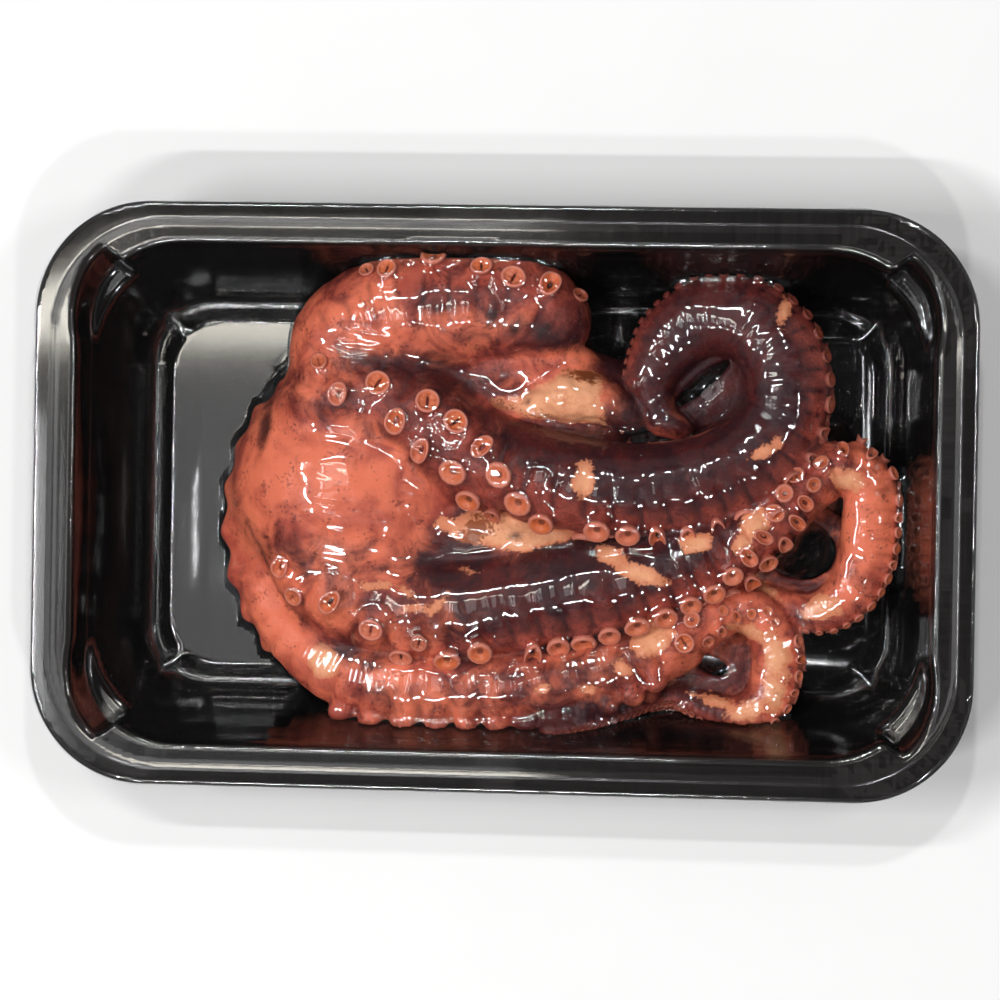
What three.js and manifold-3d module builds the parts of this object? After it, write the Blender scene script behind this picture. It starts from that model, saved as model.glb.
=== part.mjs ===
// Cooked octopus: four joined arms, vacuum packed on a black formed tray under a clear shrink film.
// Millimetres, +Z up. The origin is on the floor under the middle of the tray, +X runs along the tray.
import * as THREE from 'three';
import { mergeVertices } from 'three/addons/utils/BufferGeometryUtils.js';
import Module from 'manifold-3d';

const wasm = await Module();
wasm.setup();

// ---- tray ------------------------------------------------------------------------------------
const TRAY_LENGTH = 270;
const TRAY_WIDTH = 166;
const TRAY_HEIGHT = 38;
const RIM_CORNER = 33;
const SHEET = 1;
const LIP_DROP = 2.4;
const OUTER_BAND = 4.4;
const BAND_STEP = 0.6;
const FLANGE = 11;
const MOUTH_CORNER = 31;
const LEDGE_DEPTH = 9.5;
const WALL_FOOT_INSET = 25;
const FLOOR_CORNER = 18;
const PANEL_INSET = 34;
const PANEL_CORNER = 14;
const PANEL_RISE = 2.8;
const PANEL_BEVEL = 4.2;
const FOOT_ROUND = 2.6;
const MOUTH_ROUND = 0.9;
const WALL_TOP_INSET = FLANGE + 3.6;
const RIM_ROUND = 0.7;
const WALL_RINGS = 7;
const OPEN_TOP = TRAY_HEIGHT + 6;

// The stacking lugs, one in each corner: how far the pocket reaches out, and where it starts and ends as
// a share of the corner, from the short side to the long side.
const LUG_REACH = 4.6;
const LUG_START = 0.02;
const LUG_END = 0.63;
const LUG_NOTCH = 0.03;
const LUG_SWELL = 0.56;
const LUG_LEDGE_SHARE = 0.75;

// ---- octopus ---------------------------------------------------------------------------------
const REST_Z = SHEET + PANEL_RISE + 0.4;
const ARM_SIDES = 10;
const ARM_STEP = 7.8;
const BLUNTEST_END = 0.25;
const SUCKER_SIDES = 6;
const SUCKER_MIN = 6.3;
const SUCKER_PITCH = 1.12;
const ROW_ANGLE = 21;
const LOWEST_ROW = 112;
const ROW_MARGIN = 3;
const WALL_GAP = 0.4;

// A sucker's outline from its foot inside the arm to the middle of the cup, in sucker radii.
const CUP_OUTLINE = [[0, -0.9], [0.72, -0.9], [1, 0.3], [0, -0.12]];

// ---- film ------------------------------------------------------------------------------------
const FILM = 0.4;
const FILM_GAP = 0.5;
const FILM_CELL = 9.6;
const FILM_WALL_CELLS = 4;
const FILM_REACH = 1;
const FILM_NEAR_SHARE = 0.93;
const FILM_MARGIN = 0.5;
const FILM_ROUNDS = 120;
const FILM_SAG = 1.5;
const FILM_PULLS = 3;

const degrees = THREE.MathUtils.degToRad;
const lerp = THREE.MathUtils.lerp;
const clamp = THREE.MathUtils.clamp;

// ---- solids ----------------------------------------------------------------------------------

// Merges a geometry's seams and drops its zero triangles, so that it is one closed skin.
function closed(geometry) {
  geometry.deleteAttribute('normal');
  geometry.deleteAttribute('uv');
  const merged = mergeVertices(geometry, 1e-4);
  const index = merged.index.array;
  const kept = [];
  for (let i = 0; i < index.length; i += 3) {
    const [a, b, c] = [index[i], index[i + 1], index[i + 2]];
    if (a !== b && b !== c && c !== a) {
      kept.push(a, b, c);
    }
  }
  merged.setIndex(kept);
  return merged;
}

function toSolid(geometry) {
  const skin = closed(geometry);
  const vertProperties = new Float32Array(skin.attributes.position.array);
  const triVerts = new Uint32Array(skin.index.array);
  return new wasm.Manifold(new wasm.Mesh({ numProp: 3, vertProperties, triVerts }));
}

function toGeometry(solid) {
  const mesh = solid.getMesh();
  const geometry = new THREE.BufferGeometry();
  geometry.setAttribute('position', new THREE.BufferAttribute(new Float32Array(mesh.vertProperties), 3));
  geometry.setIndex(new THREE.BufferAttribute(new Uint32Array(mesh.triVerts), 1));
  return geometry;
}

// Moves every vertex of a geometry: place(x, y, z) returns its new point.
function reshape(geometry, place) {
  const position = geometry.attributes.position;
  for (let i = 0; i < position.count; i += 1) {
    const p = place(position.getX(i), position.getY(i), position.getZ(i));
    position.setXYZ(i, p.x, p.y, p.z);
  }
  return geometry;
}

function namedMesh(name, geometry, material) {
  const mesh = new THREE.Mesh(geometry, new THREE.MeshStandardMaterial(material));
  mesh.name = name;
  return mesh;
}

// ---- tray: one profile swept round a rounded rectangle ---------------------------------------

// Stations round one corner, from the short side to the long side: the lug pocket ends in a sharp notch.
const CORNER_STATIONS = [0, 0.12, 0.28, 0.44, LUG_END - LUG_NOTCH, LUG_END, 0.82, 1];
const LOOP_STATIONS = [];
for (const [signX, signY] of [[1, 1], [-1, 1], [-1, -1], [1, -1]]) {
  const corner = CORNER_STATIONS.map((t) => ({ signX, signY, t }));
  LOOP_STATIONS.push(...(signX * signY > 0 ? corner : corner.reverse()));
}

// How far the stacking lug's pocket reaches out at a corner station, 0 to 1.
function lugShare(t) {
  if (t <= LUG_START || t >= LUG_END) {
    return 0;
  }
  const along = (t - LUG_START) / (LUG_END - LUG_START);
  return Math.sin(along * Math.PI * LUG_SWELL);
}

// The tray's upper face from the middle of the floor out to the lip: { inset, z, corner, lug }.
function trayProfile() {
  const rim = TRAY_HEIGHT;
  const band = rim - BAND_STEP;
  const ledge = rim - LEDGE_DEPTH;
  const panel = SHEET + PANEL_RISE;
  return [
    { inset: PANEL_INSET, z: panel, corner: PANEL_CORNER, lug: 0 },
    { inset: PANEL_INSET - PANEL_BEVEL, z: SHEET, corner: PANEL_CORNER + 3, lug: 0 },
    { inset: WALL_FOOT_INSET + FOOT_ROUND, z: SHEET, corner: FLOOR_CORNER - 1.4, lug: 0 },
    { inset: WALL_FOOT_INSET - 0.2, z: SHEET + FOOT_ROUND, corner: FLOOR_CORNER + 0.6, lug: 0 },
    { inset: WALL_TOP_INSET, z: ledge, corner: MOUTH_CORNER - 3, lug: 0 },
    { inset: WALL_TOP_INSET - 0.3, z: ledge + 0.4, corner: MOUTH_CORNER - 2.8, lug: LUG_LEDGE_SHARE },
    { inset: FLANGE + 0.3, z: band - MOUTH_ROUND, corner: MOUTH_CORNER, lug: 1 },
    { inset: FLANGE - 0.6, z: band, corner: MOUTH_CORNER + 0.5, lug: 1 },
    { inset: OUTER_BAND + BAND_STEP, z: band, corner: RIM_CORNER - 1, lug: 0 },
    { inset: OUTER_BAND, z: rim, corner: RIM_CORNER - 1, lug: 0 },
    { inset: RIM_ROUND, z: rim, corner: RIM_CORNER - 0.3, lug: 0 },
    { inset: 0, z: rim - RIM_ROUND, corner: RIM_CORNER, lug: 0 },
    { inset: 0, z: rim - LIP_DROP, corner: RIM_CORNER, lug: 0 },
  ];
}

// The same profile at one station, with the lug's reach taken off the insets.
function stationProfile(profile, station) {
  const reach = LUG_REACH * lugShare(station.t);
  return profile.map((ring) => ({ ...ring, inset: ring.inset - reach * ring.lug }));
}

// A station profile's lower face: each point moved square off the upper face by the sheet's thickness.
function underside(upper) {
  return upper.map((ring, i) => {
    const before = upper[Math.max(i - 1, 0)];
    const after = upper[Math.min(i + 1, upper.length - 1)];
    const inward = new THREE.Vector2(before.inset - ring.inset, before.z - ring.z).normalize();
    const outward = new THREE.Vector2(ring.inset - after.inset, ring.z - after.z).normalize();
    const along = i === 0 ? outward : inward.clone();
    if (i > 0 && i < upper.length - 1) {
      along.add(outward).normalize();
    }
    const mitre = Math.min(1.6, 1 / Math.max(along.dot(i === 0 ? outward : inward), 0.5));
    const shift = SHEET * mitre;
    return { ...ring, inset: ring.inset + along.y * shift, z: ring.z - along.x * shift };
  });
}

function ringPoint({ signX, signY, t }, ring) {
  const centreX = TRAY_LENGTH / 2 - ring.inset - ring.corner;
  const centreY = TRAY_WIDTH / 2 - ring.inset - ring.corner;
  const angle = (t * Math.PI) / 2;
  const x = centreX + ring.corner * Math.cos(angle);
  const y = centreY + ring.corner * Math.sin(angle);
  return new THREE.Vector3(signX * x, signY * y, ring.z);
}

// Lofts the rings that section(station) gives, from the axis out and back to the axis.
function loft(section, topZ, bottomZ) {
  const columnAt = (station) => section(station).map((ring) => ringPoint(station, ring));
  const columns = LOOP_STATIONS.map(columnAt);
  const rings = columns[0].length;
  const outline = [];
  for (let j = 0; j < rings + 2; j += 1) {
    outline.push(new THREE.Vector2(j === 0 || j === rings + 1 ? 0 : 1, -j));
  }
  const geometry = new THREE.LatheGeometry(outline, columns.length);
  const position = geometry.attributes.position;
  for (let i = 0; i <= columns.length; i += 1) {
    const column = columns[i % columns.length];
    for (let j = 0; j < outline.length; j += 1) {
      const ends = j === 0 ? new THREE.Vector3(0, 0, topZ) : new THREE.Vector3(0, 0, bottomZ);
      const p = j > 0 && j <= rings ? column[j - 1] : ends;
      position.setXYZ(i * outline.length + j, p.x, p.y, p.z);
    }
  }
  return geometry;
}

function traySkin() {
  const profile = trayProfile();
  const section = (station) => {
    const upper = stationProfile(profile, station);
    return [...upper, ...underside(upper).reverse()];
  };
  return loft(section, SHEET + PANEL_RISE, PANEL_RISE);
}

// What the tray can hold: its inside, a little clear of floor and walls.
function trayInside() {
  const wall = trayProfile().slice(0, WALL_RINGS).map((ring) => (
    { ...ring, inset: ring.inset + WALL_GAP, z: ring.z + WALL_GAP }
  ));
  const lid = { ...wall[wall.length - 1], z: OPEN_TOP };
  return loft(() => [...wall, lid], REST_Z, OPEN_TOP);
}

// ---- octopus ---------------------------------------------------------------------------------

// Each arm's line from the crown to its tip: place (x, y, z), half thickness across and above the line,
// the turn of its sucker face from straight up towards the right of travel, and the size of its suckers.
const ARMS = {
  short: [
    { at: [-56.5, 35, 17], across: 11, above: 12, turn: -50, sucker: 5 },
    { at: [-48.5, 46.5, 20], across: 14, above: 14, turn: -60, sucker: 6.5 },
    { at: [-33, 53, 21], across: 16.5, above: 15, turn: -62, sucker: 7.5 },
    { at: [-15.5, 54.5, 21], across: 17, above: 15, turn: -60, sucker: 8 },
    { at: [0, 54.5, 20.5], across: 16, above: 14.5, turn: -52, sucker: 9.5 },
    { at: [10.5, 51.5, 19.5], across: 13.5, above: 13.5, turn: -44, sucker: 9.5 },
    { at: [17, 47.5, 18], across: 9, above: 11, turn: -40, sucker: 8 },
  ],
  coiled: [
    { at: [-60.5, 26.5, 21], across: 12, above: 12, turn: 10, sucker: 5 },
    { at: [-43, 28.5, 23], across: 12, above: 12, turn: 12, sucker: 6.5 },
    { at: [-25.5, 23, 23.5], across: 12.5, above: 12, turn: 14, sucker: 9 },
    { at: [-8, 12.5, 23], across: 13.5, above: 13, turn: 22, sucker: 9.7 },
    { at: [14, 5.5, 23], across: 13.5, above: 13, turn: 62, sucker: 9 },
    { at: [37.5, 3.5, 22.5], across: 13, above: 12.5, turn: 84, sucker: 8 },
    { at: [56.5, 6.5, 22], across: 13, above: 12, turn: 90, sucker: 7 },
    { at: [71, 14.5, 20.5], across: 12.5, above: 12, turn: 92, sucker: 6.2 },
    { at: [78.5, 27, 19], across: 12, above: 11.5, turn: 92, sucker: 5.4 },
    { at: [77, 42, 18], across: 12.5, above: 11, turn: 90, sucker: 4.4 },
    { at: [67.5, 52, 17], across: 12, above: 10, turn: 90, sucker: 3.4 },
    { at: [54.5, 52.5, 16], across: 11, above: 9.5, turn: 90, sucker: 3 },
    { at: [44.5, 45, 15], across: 9.5, above: 9, turn: 90, sucker: 2.6 },
    { at: [39.5, 34, 14], across: 7, above: 8, turn: 90, sucker: 2.3 },
    { at: [42.5, 24, 14], across: 5, above: 6.5, turn: 90, sucker: 2 },
    { at: [50.5, 20, 14], across: 2.5, above: 4.5, turn: 90, sucker: 1.6 },
  ],
  hooked: [
    { at: [-62, -14, 18], across: 14, above: 12, turn: 80, sucker: 5.5 },
    { at: [-47, -24.5, 19], across: 15, above: 13, turn: 84, sucker: 8 },
    { at: [-30, -31, 19], across: 15, above: 13, turn: 88, sucker: 9 },
    { at: [-9, -31, 19], across: 15, above: 13, turn: 90, sucker: 9 },
    { at: [14, -26.5, 19], across: 14.5, above: 13, turn: 88, sucker: 8.5 },
    { at: [37.5, -22, 19], across: 13.5, above: 12.5, turn: 84, sucker: 8 },
    { at: [56.5, -15, 18], across: 12, above: 12, turn: 72, sucker: 7 },
    { at: [72.5, -5.5, 17], across: 10, above: 11, turn: 35, sucker: 6.2 },
    { at: [84, 4.5, 15], across: 8, above: 10, turn: -5, sucker: 5.6 },
    { at: [94.5, 10.5, 13], across: 7.5, above: 9, turn: -60, sucker: 5.2 },
    { at: [101.5, 6, 12], across: 7.5, above: 8.5, turn: -88, sucker: 4.8 },
    { at: [102.5, -4, 11.5], across: 8, above: 8, turn: -90, sucker: 4.4 },
    { at: [101, -15.5, 11], across: 8, above: 7.5, turn: -90, sucker: 4 },
    { at: [96.5, -25.5, 10.5], across: 7, above: 7, turn: -90, sucker: 3.4 },
    { at: [88, -30.5, 10], across: 5.8, above: 6, turn: -90, sucker: 2.8 },
    { at: [78.5, -28.5, 9.5], across: 4, above: 5, turn: -90, sucker: 2.2 },
    { at: [70.5, -24, 9], across: 2, above: 3.5, turn: -90, sucker: 1.6 },
  ],
  outer: [
    { at: [-73, -17.5, 13], across: 9, above: 9, turn: 100, sucker: 4.5 },
    { at: [-65, -34, 14], across: 11, above: 10, turn: 98, sucker: 6.5 },
    { at: [-50, -46.5, 15], across: 13, above: 11, turn: 96, sucker: 8 },
    { at: [-30.5, -53.5, 15.5], across: 13.5, above: 11.5, turn: 94, sucker: 9 },
    { at: [-9, -54.5, 15.5], across: 13.5, above: 11.5, turn: 92, sucker: 9 },
    { at: [12, -53, 15.5], across: 13, above: 11.5, turn: 90, sucker: 8.5 },
    { at: [32, -47.5, 15], across: 12, above: 11, turn: 84, sucker: 8 },
    { at: [45.5, -41, 14.5], across: 10, above: 10.5, turn: 60, sucker: 7 },
    { at: [56, -33, 14], across: 8, above: 9.5, turn: 10, sucker: 6.2 },
    { at: [66, -29.5, 13], across: 6.8, above: 8, turn: -45, sucker: 5.4 },
    { at: [74, -34.5, 12], across: 7, above: 7.5, turn: -75, sucker: 4.8 },
    { at: [76.5, -45, 11.5], across: 7.2, above: 7, turn: -80, sucker: 4.2 },
    { at: [74, -55.5, 11], across: 6.6, above: 6.8, turn: -80, sucker: 3.6 },
    { at: [65.5, -61, 10], across: 5.4, above: 5.8, turn: -75, sucker: 3 },
    { at: [54.5, -59.5, 9], across: 4.4, above: 5, turn: -65, sucker: 2.6 },
    { at: [43.5, -57, 8.5], across: 3.4, above: 4, turn: -60, sucker: 2.2 },
    { at: [31, -59, 8], across: 2.7, above: 3.4, turn: -60, sucker: 1.8 },
    { at: [17.5, -63, 8], across: 2.1, above: 2.8, turn: -60, sucker: 1.4 },
  ],
};

// The crown, its hanging web and the thin webs between the arms, as deformed balls.
const WEBS = [
  { at: [-47, 3, 14], radii: [34, 33, 22], waves: 0, depth: 0, rows: 9 },
  { at: [-53, -8, 9], radii: [32, 45, 9.5], waves: 11, depth: 0.04, rows: 6 },
  { at: [-41, -33, 12], radii: [28, 20, 13], waves: 0, depth: 0, rows: 6 },
  { at: [-38, 40, 13], radii: [26, 15, 15], waves: 0, depth: 0, rows: 6 },
  { at: [0, 27, 11], radii: [38, 20, 13], waves: 5, depth: 0.03, rows: 6 },
  { at: [-9, -11, 13], radii: [34, 13, 13], waves: 0, depth: 0, rows: 6 },
  { at: [54, 36, 7], radii: [22, 18, 6], waves: 5, depth: 0.03, rows: 4 },
  { at: [79, -13, 6], radii: [20, 14, 4], waves: 5, depth: 0.04, rows: 4 },
  { at: [59, -47, 6], radii: [18, 11, 3.5], waves: 5, depth: 0.04, rows: 4 },
];

// The pale ridge of torn flesh between the short arm and the coiled one.
const FLESH_RIDGE = [
  { at: [-9.5, 27.5, 20], across: 3, above: 6, turn: 0, sucker: 0 },
  { at: [3, 28.5, 21], across: 6, above: 8, turn: 0, sucker: 0 },
  { at: [17, 30.5, 21], across: 7.5, above: 9, turn: 0, sucker: 0 },
  { at: [28.5, 26.5, 20], across: 5.5, above: 8, turn: 0, sucker: 0 },
  { at: [37, 21, 18], across: 3, above: 6, turn: 0, sucker: 0 },
];

// A limb's smooth line, with its thickness and sucker values read along it.
class Limb {
  constructor(points) {
    this.points = points;
    const places = points.map((p) => new THREE.Vector3(...p.at));
    this.curve = new THREE.CatmullRomCurve3(places, false, 'centripetal');
    this.length = this.curve.getLength();
  }

  // Everything about the limb at a share v of its own control points.
  section(v) {
    const last = this.points.length - 1;
    const place = clamp(v, 0, 1) * last;
    const i = Math.min(Math.floor(place), last - 1);
    const share = place - i;
    const value = (key) => lerp(this.points[i][key], this.points[i + 1][key], share);
    const at = this.curve.getPoint(clamp(v, 0, 1));
    const along = this.curve.getTangent(clamp(v, 0, 1));
    const right = new THREE.Vector3(along.y, -along.x, 0).normalize();
    const up = new THREE.Vector3().crossVectors(right, along).normalize();
    return {
      at, right, up, along,
      across: value('across'), above: value('above'), turn: value('turn'), sucker: value('sucker'),
    };
  }

  // Ends are rounded over about one half thickness.
  endRound(v) {
    const section = this.section(v);
    const fromEnd = Math.min(v, 1 - v) * this.length;
    const share = clamp(fromEnd / Math.max(section.across, 1), 0, 1);
    return Math.max(BLUNTEST_END, Math.sqrt(1 - (1 - share) ** 2));
  }

  // The body: a closed cylinder bent along the line, its underside reaching down to the tray's floor.
  body() {
    const steps = Math.ceil(this.length / ARM_STEP);
    const geometry = new THREE.CylinderGeometry(1, 1, 1, ARM_SIDES, steps);
    return reshape(geometry, (x, y, z) => {
      const v = 0.5 - y;
      const section = this.section(v);
      const round = this.endRound(v);
      const below = Math.max(section.above, section.at.z - REST_Z + 1);
      const rise = z * (z > 0 ? section.above : below) * round;
      return section.at.clone()
        .addScaledVector(section.right, -x * section.across * round)
        .addScaledVector(section.up, rise);
    });
  }

  // Two staggered rows of suckers along the sucker face.
  suckers() {
    const parts = [];
    let travelled = ROW_MARGIN;
    let side = 1;
    while (travelled < this.length - ROW_MARGIN) {
      const section = this.section(this.shareAt(travelled));
      const turn = section.turn + side * ROW_ANGLE;
      if (section.sucker >= SUCKER_MIN && Math.abs(turn) < LOWEST_ROW) {
        parts.push(suckerAt(section, turn, section.sucker));
      }
      travelled += (section.sucker * SUCKER_PITCH) / 2;
      side = -side;
    }
    return parts;
  }

  // Control-point share of the place that lies this far along the line.
  shareAt(distance) {
    return this.curve.getUtoTmapping(distance / this.length);
  }
}

// A cup on a short stalk, standing square on the limb's surface at an angle from straight up.
function suckerAt(section, angleDegrees, size) {
  const angle = degrees(angleDegrees);
  const surface = section.at.clone()
    .addScaledVector(section.right, Math.sin(angle) * section.across)
    .addScaledVector(section.up, Math.cos(angle) * section.above);
  const normal = section.right.clone().multiplyScalar(Math.sin(angle) / section.across)
    .addScaledVector(section.up, Math.cos(angle) / section.above).normalize();
  const outline = CUP_OUTLINE.map(([x, y]) => new THREE.Vector2(x, y).multiplyScalar(size / 2));
  const geometry = new THREE.LatheGeometry(outline, SUCKER_SIDES);
  const turn = new THREE.Quaternion().setFromUnitVectors(new THREE.Vector3(0, 1, 0), normal);
  geometry.applyQuaternion(turn);
  geometry.translate(surface.x, surface.y, surface.z);
  return geometry;
}

function webBall({ at, radii, waves, depth, rows }) {
  const ball = new THREE.SphereGeometry(1, 2 * rows + 4, rows).rotateX(Math.PI / 2);
  return reshape(ball, (x, y, z) => {
    const swell = 1 + depth * Math.sin(waves * Math.atan2(y, x)) * Math.hypot(x, y);
    const stretched = new THREE.Vector3(x * radii[0] * swell, y * radii[1] * swell, z * radii[2]);
    return stretched.add(new THREE.Vector3(...at));
  });
}

function octopusSolid() {
  const limbs = Object.values(ARMS).map((points) => new Limb(points));
  const bodies = [...limbs, new Limb(FLESH_RIDGE)].map((limb) => limb.body());
  const cups = limbs.flatMap((limb) => limb.suckers());
  const parts = [...bodies, ...WEBS.map(webBall), ...cups].map(outward).map(toSolid);
  const fused = wasm.Manifold.union(parts).intersect(toSolid(outward(trayInside())));
  return fused.decompose().sort((a, b) => b.volume() - a.volume())[0];
}

// Turns a geometry's faces round if they point in.
function outward(geometry) {
  const skin = closed(geometry);
  const index = skin.index.array;
  const position = skin.attributes.position;
  const [a, b, c] = [new THREE.Vector3(), new THREE.Vector3(), new THREE.Vector3()];
  let volume = 0;
  for (let i = 0; i < index.length; i += 3) {
    a.fromBufferAttribute(position, index[i]);
    b.fromBufferAttribute(position, index[i + 1]);
    c.fromBufferAttribute(position, index[i + 2]);
    volume += a.dot(b.cross(c));
  }
  if (volume < 0) {
    for (let i = 0; i < index.length; i += 3) {
      [index[i], index[i + 1]] = [index[i + 1], index[i]];
    }
  }
  return skin;
}

// ---- film: a blanket draped over tray and octopus --------------------------------------------

// The highest point of the given geometries over every millimetre of the tray.
function heightMap(geometries) {
  const columns = TRAY_LENGTH + 1;
  const rows = TRAY_WIDTH + 1;
  const heights = new Float32Array(columns * rows);
  const [a, b, c] = [new THREE.Vector3(), new THREE.Vector3(), new THREE.Vector3()];
  for (const geometry of geometries) {
    const { index, attributes: { position } } = geometry;
    for (let i = 0; i < index.count; i += 3) {
      a.fromBufferAttribute(position, index.getX(i));
      b.fromBufferAttribute(position, index.getX(i + 1));
      c.fromBufferAttribute(position, index.getX(i + 2));
      rasterise(heights, columns, rows, a, b, c);
    }
  }
  return { heights: widened(heights, columns, rows), columns, rows };
}

// Every sample takes the highest one within FILM_REACH, so that steep sides stand that much further out.
function widened(heights, columns, rows) {
  return heights.map((_, cell) => {
    const column = cell % columns;
    const row = Math.floor(cell / columns);
    let highest = 0;
    for (let y = Math.max(row - 2, 0); y <= Math.min(row + 2, rows - 1); y += 1) {
      for (let x = Math.max(column - 2, 0); x <= Math.min(column + 2, columns - 1); x += 1) {
        if (Math.hypot(x - column, y - row) <= FILM_REACH) {
          highest = Math.max(highest, heights[y * columns + x]);
        }
      }
    }
    return highest;
  });
}

function rasterise(heights, columns, rows, a, b, c) {
  const area = (b.x - a.x) * (c.y - a.y) - (c.x - a.x) * (b.y - a.y);
  if (Math.abs(area) < 1e-6) {
    return;
  }
  const [left, low] = [TRAY_LENGTH / 2, TRAY_WIDTH / 2];
  const firstX = Math.max(0, Math.ceil(Math.min(a.x, b.x, c.x) + left));
  const lastX = Math.min(columns - 1, Math.floor(Math.max(a.x, b.x, c.x) + left));
  const firstY = Math.max(0, Math.ceil(Math.min(a.y, b.y, c.y) + low));
  const lastY = Math.min(rows - 1, Math.floor(Math.max(a.y, b.y, c.y) + low));
  for (let row = firstY; row <= lastY; row += 1) {
    for (let column = firstX; column <= lastX; column += 1) {
      const [x, y] = [column - left, row - low];
      const shareB = ((x - a.x) * (c.y - a.y) - (c.x - a.x) * (y - a.y)) / area;
      const shareC = ((b.x - a.x) * (y - a.y) - (x - a.x) * (b.y - a.y)) / area;
      if (shareB >= 0 && shareC >= 0 && shareB + shareC <= 1) {
        const z = a.z + shareB * (b.z - a.z) + shareC * (c.z - a.z);
        const cell = row * columns + column;
        heights[cell] = Math.max(heights[cell], z);
      }
    }
  }
}

// Grid lines across the blanket: even cells over the floor, closer ones down the walls, one at the mouth.
function gridLines(half) {
  const mouth = half - FLANGE + 0.6;
  const foot = half - WALL_FOOT_INSET - 2;
  const floorCells = Math.round(foot / FILM_CELL);
  const lines = [];
  for (let i = 0; i < floorCells; i += 1) {
    lines.push((foot * i) / floorCells);
  }
  for (let i = 0; i <= FILM_WALL_CELLS; i += 1) {
    lines.push(lerp(foot, mouth, i / FILM_WALL_CELLS));
  }
  lines.push(half);
  return [...lines.slice(1).reverse().map((x) => -x), ...lines];
}

// Which cell of the lines a value lies in, and how far across that cell.
function cellOf(lines, value) {
  let i = 0;
  while (i < lines.length - 2 && value > lines[i + 1]) {
    i += 1;
  }
  return { i, share: clamp((value - lines[i]) / (lines[i + 1] - lines[i]), 0, 1) };
}

// Film heights at the grid's points, raised until no sample of the map stands through a face. A point
// rises no further than the highest sample of the cells round it.
function drapedHeights({ heights, columns, rows }, linesX, linesY) {
  const point = (i, j) => j * linesX.length + i;
  const cellsX = Array.from({ length: columns }, (_, column) => cellOf(linesX, column - TRAY_LENGTH / 2));
  const cellsY = Array.from({ length: rows }, (_, row) => cellOf(linesY, row - TRAY_WIDTH / 2));
  const film = new Float32Array(linesX.length * linesY.length);
  const limit = new Float32Array(film.length);
  const samples = [];
  cellsY.forEach(({ i: j, share: t }, row) => {
    cellsX.forEach(({ i, share: s }, column) => {
      const least = heights[row * columns + column] + FILM_GAP;
      const corners = s < t
        ? [[point(i, j), 1 - t], [point(i, j + 1), t - s], [point(i + 1, j + 1), s]]
        : [[point(i, j), 1 - s], [point(i + 1, j), s - t], [point(i + 1, j + 1), t]];
      samples.push({ least, corners });
      for (const k of [point(i, j), point(i + 1, j), point(i, j + 1), point(i + 1, j + 1)]) {
        limit[k] = Math.max(limit[k], least);
      }
      corners.filter(([, share]) => share > FILM_NEAR_SHARE).forEach(([k]) => {
        film[k] = Math.max(film[k], least);
      });
    });
  });
  for (let round = 0; round < FILM_ROUNDS; round += 1) {
    for (const { least, corners } of samples) {
      const lack = least - corners.reduce((sum, [k, share]) => sum + film[k] * share, 0);
      if (lack > 0) {
        const weights = corners.map(([k, share]) => share * (limit[k] - film[k]));
        const room = corners.reduce((sum, [, share], n) => sum + share * weights[n], 1e-9);
        corners.forEach(([k], n) => {
          film[k] = Math.min(limit[k], film[k] + (lack * weights[n]) / room);
        });
      }
    }
  }
  tighten(film, linesX.length, linesY.length);
  return film;
}

// The blanket is stretched: a point can't hang more than FILM_SAG below the mean of its neighbours.
function tighten(film, pointsX, pointsY) {
  for (let round = 0; round < FILM_PULLS; round += 1) {
    const before = film.slice();
    for (let j = 1; j < pointsY - 1; j += 1) {
      for (let i = 1; i < pointsX - 1; i += 1) {
        const k = j * pointsX + i;
        const mean = (before[k - 1] + before[k + 1] + before[k - pointsX] + before[k + pointsX]) / 4;
        film[k] = Math.max(film[k], mean - FILM_SAG);
      }
    }
  }
}

function filmSolid(tray, octopus) {
  const linesX = gridLines(TRAY_LENGTH / 2);
  const linesY = gridLines(TRAY_WIDTH / 2);
  const [cellsX, cellsY] = [linesX.length - 1, linesY.length - 1];
  const film = drapedHeights(heightMap([tray, octopus]), linesX, linesY);
  const sheet = reshape(evenSlab(cellsX, cellsY), (x, y, z) => {
    const i = Math.round((x + 0.5) * cellsX);
    const j = Math.round((y + 0.5) * cellsY);
    return new THREE.Vector3(linesX[i], linesY[j], film[j * linesX.length + i] + (z > 0 ? FILM : 0));
  });
  const halfX = TRAY_LENGTH / 2 - FILM_MARGIN;
  const halfY = TRAY_WIDTH / 2 - FILM_MARGIN;
  const outline = roundedRectangle(halfX, halfY, RIM_CORNER - FILM_MARGIN);
  const cutter = new THREE.ExtrudeGeometry(outline, {
    depth: 2 * TRAY_HEIGHT, bevelEnabled: false, curveSegments: 8,
  });
  return toSolid(outward(sheet)).intersect(toSolid(outward(cutter)));
}

// A unit slab whose lower face has its diagonals under those of the upper face.
function evenSlab(cellsX, cellsY) {
  const slab = new THREE.BoxGeometry(1, 1, 1, cellsX, cellsY, 1);
  const index = slab.index.array;
  const { start, count } = slab.groups[5];
  for (let k = start; k < start + count; k += 6) {
    const [a, b, d, , c] = index.slice(k, k + 6);
    index.set([a, b, c, a, c, d], k);
  }
  return slab;
}

function roundedRectangle(halfX, halfY, radius) {
  const shape = new THREE.Shape();
  shape.moveTo(halfX, halfY - radius);
  shape.absarc(halfX - radius, halfY - radius, radius, 0, Math.PI / 2);
  shape.absarc(radius - halfX, halfY - radius, radius, Math.PI / 2, Math.PI);
  shape.absarc(radius - halfX, radius - halfY, radius, Math.PI, 1.5 * Math.PI);
  shape.absarc(halfX - radius, radius - halfY, radius, 1.5 * Math.PI, 2 * Math.PI);
  shape.closePath();
  return shape;
}

// ---- assembly --------------------------------------------------------------------------------

const trayGeometry = outward(traySkin());
const octopusGeometry = toGeometry(octopusSolid());
const filmGeometry = toGeometry(filmSolid(trayGeometry, octopusGeometry));

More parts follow.
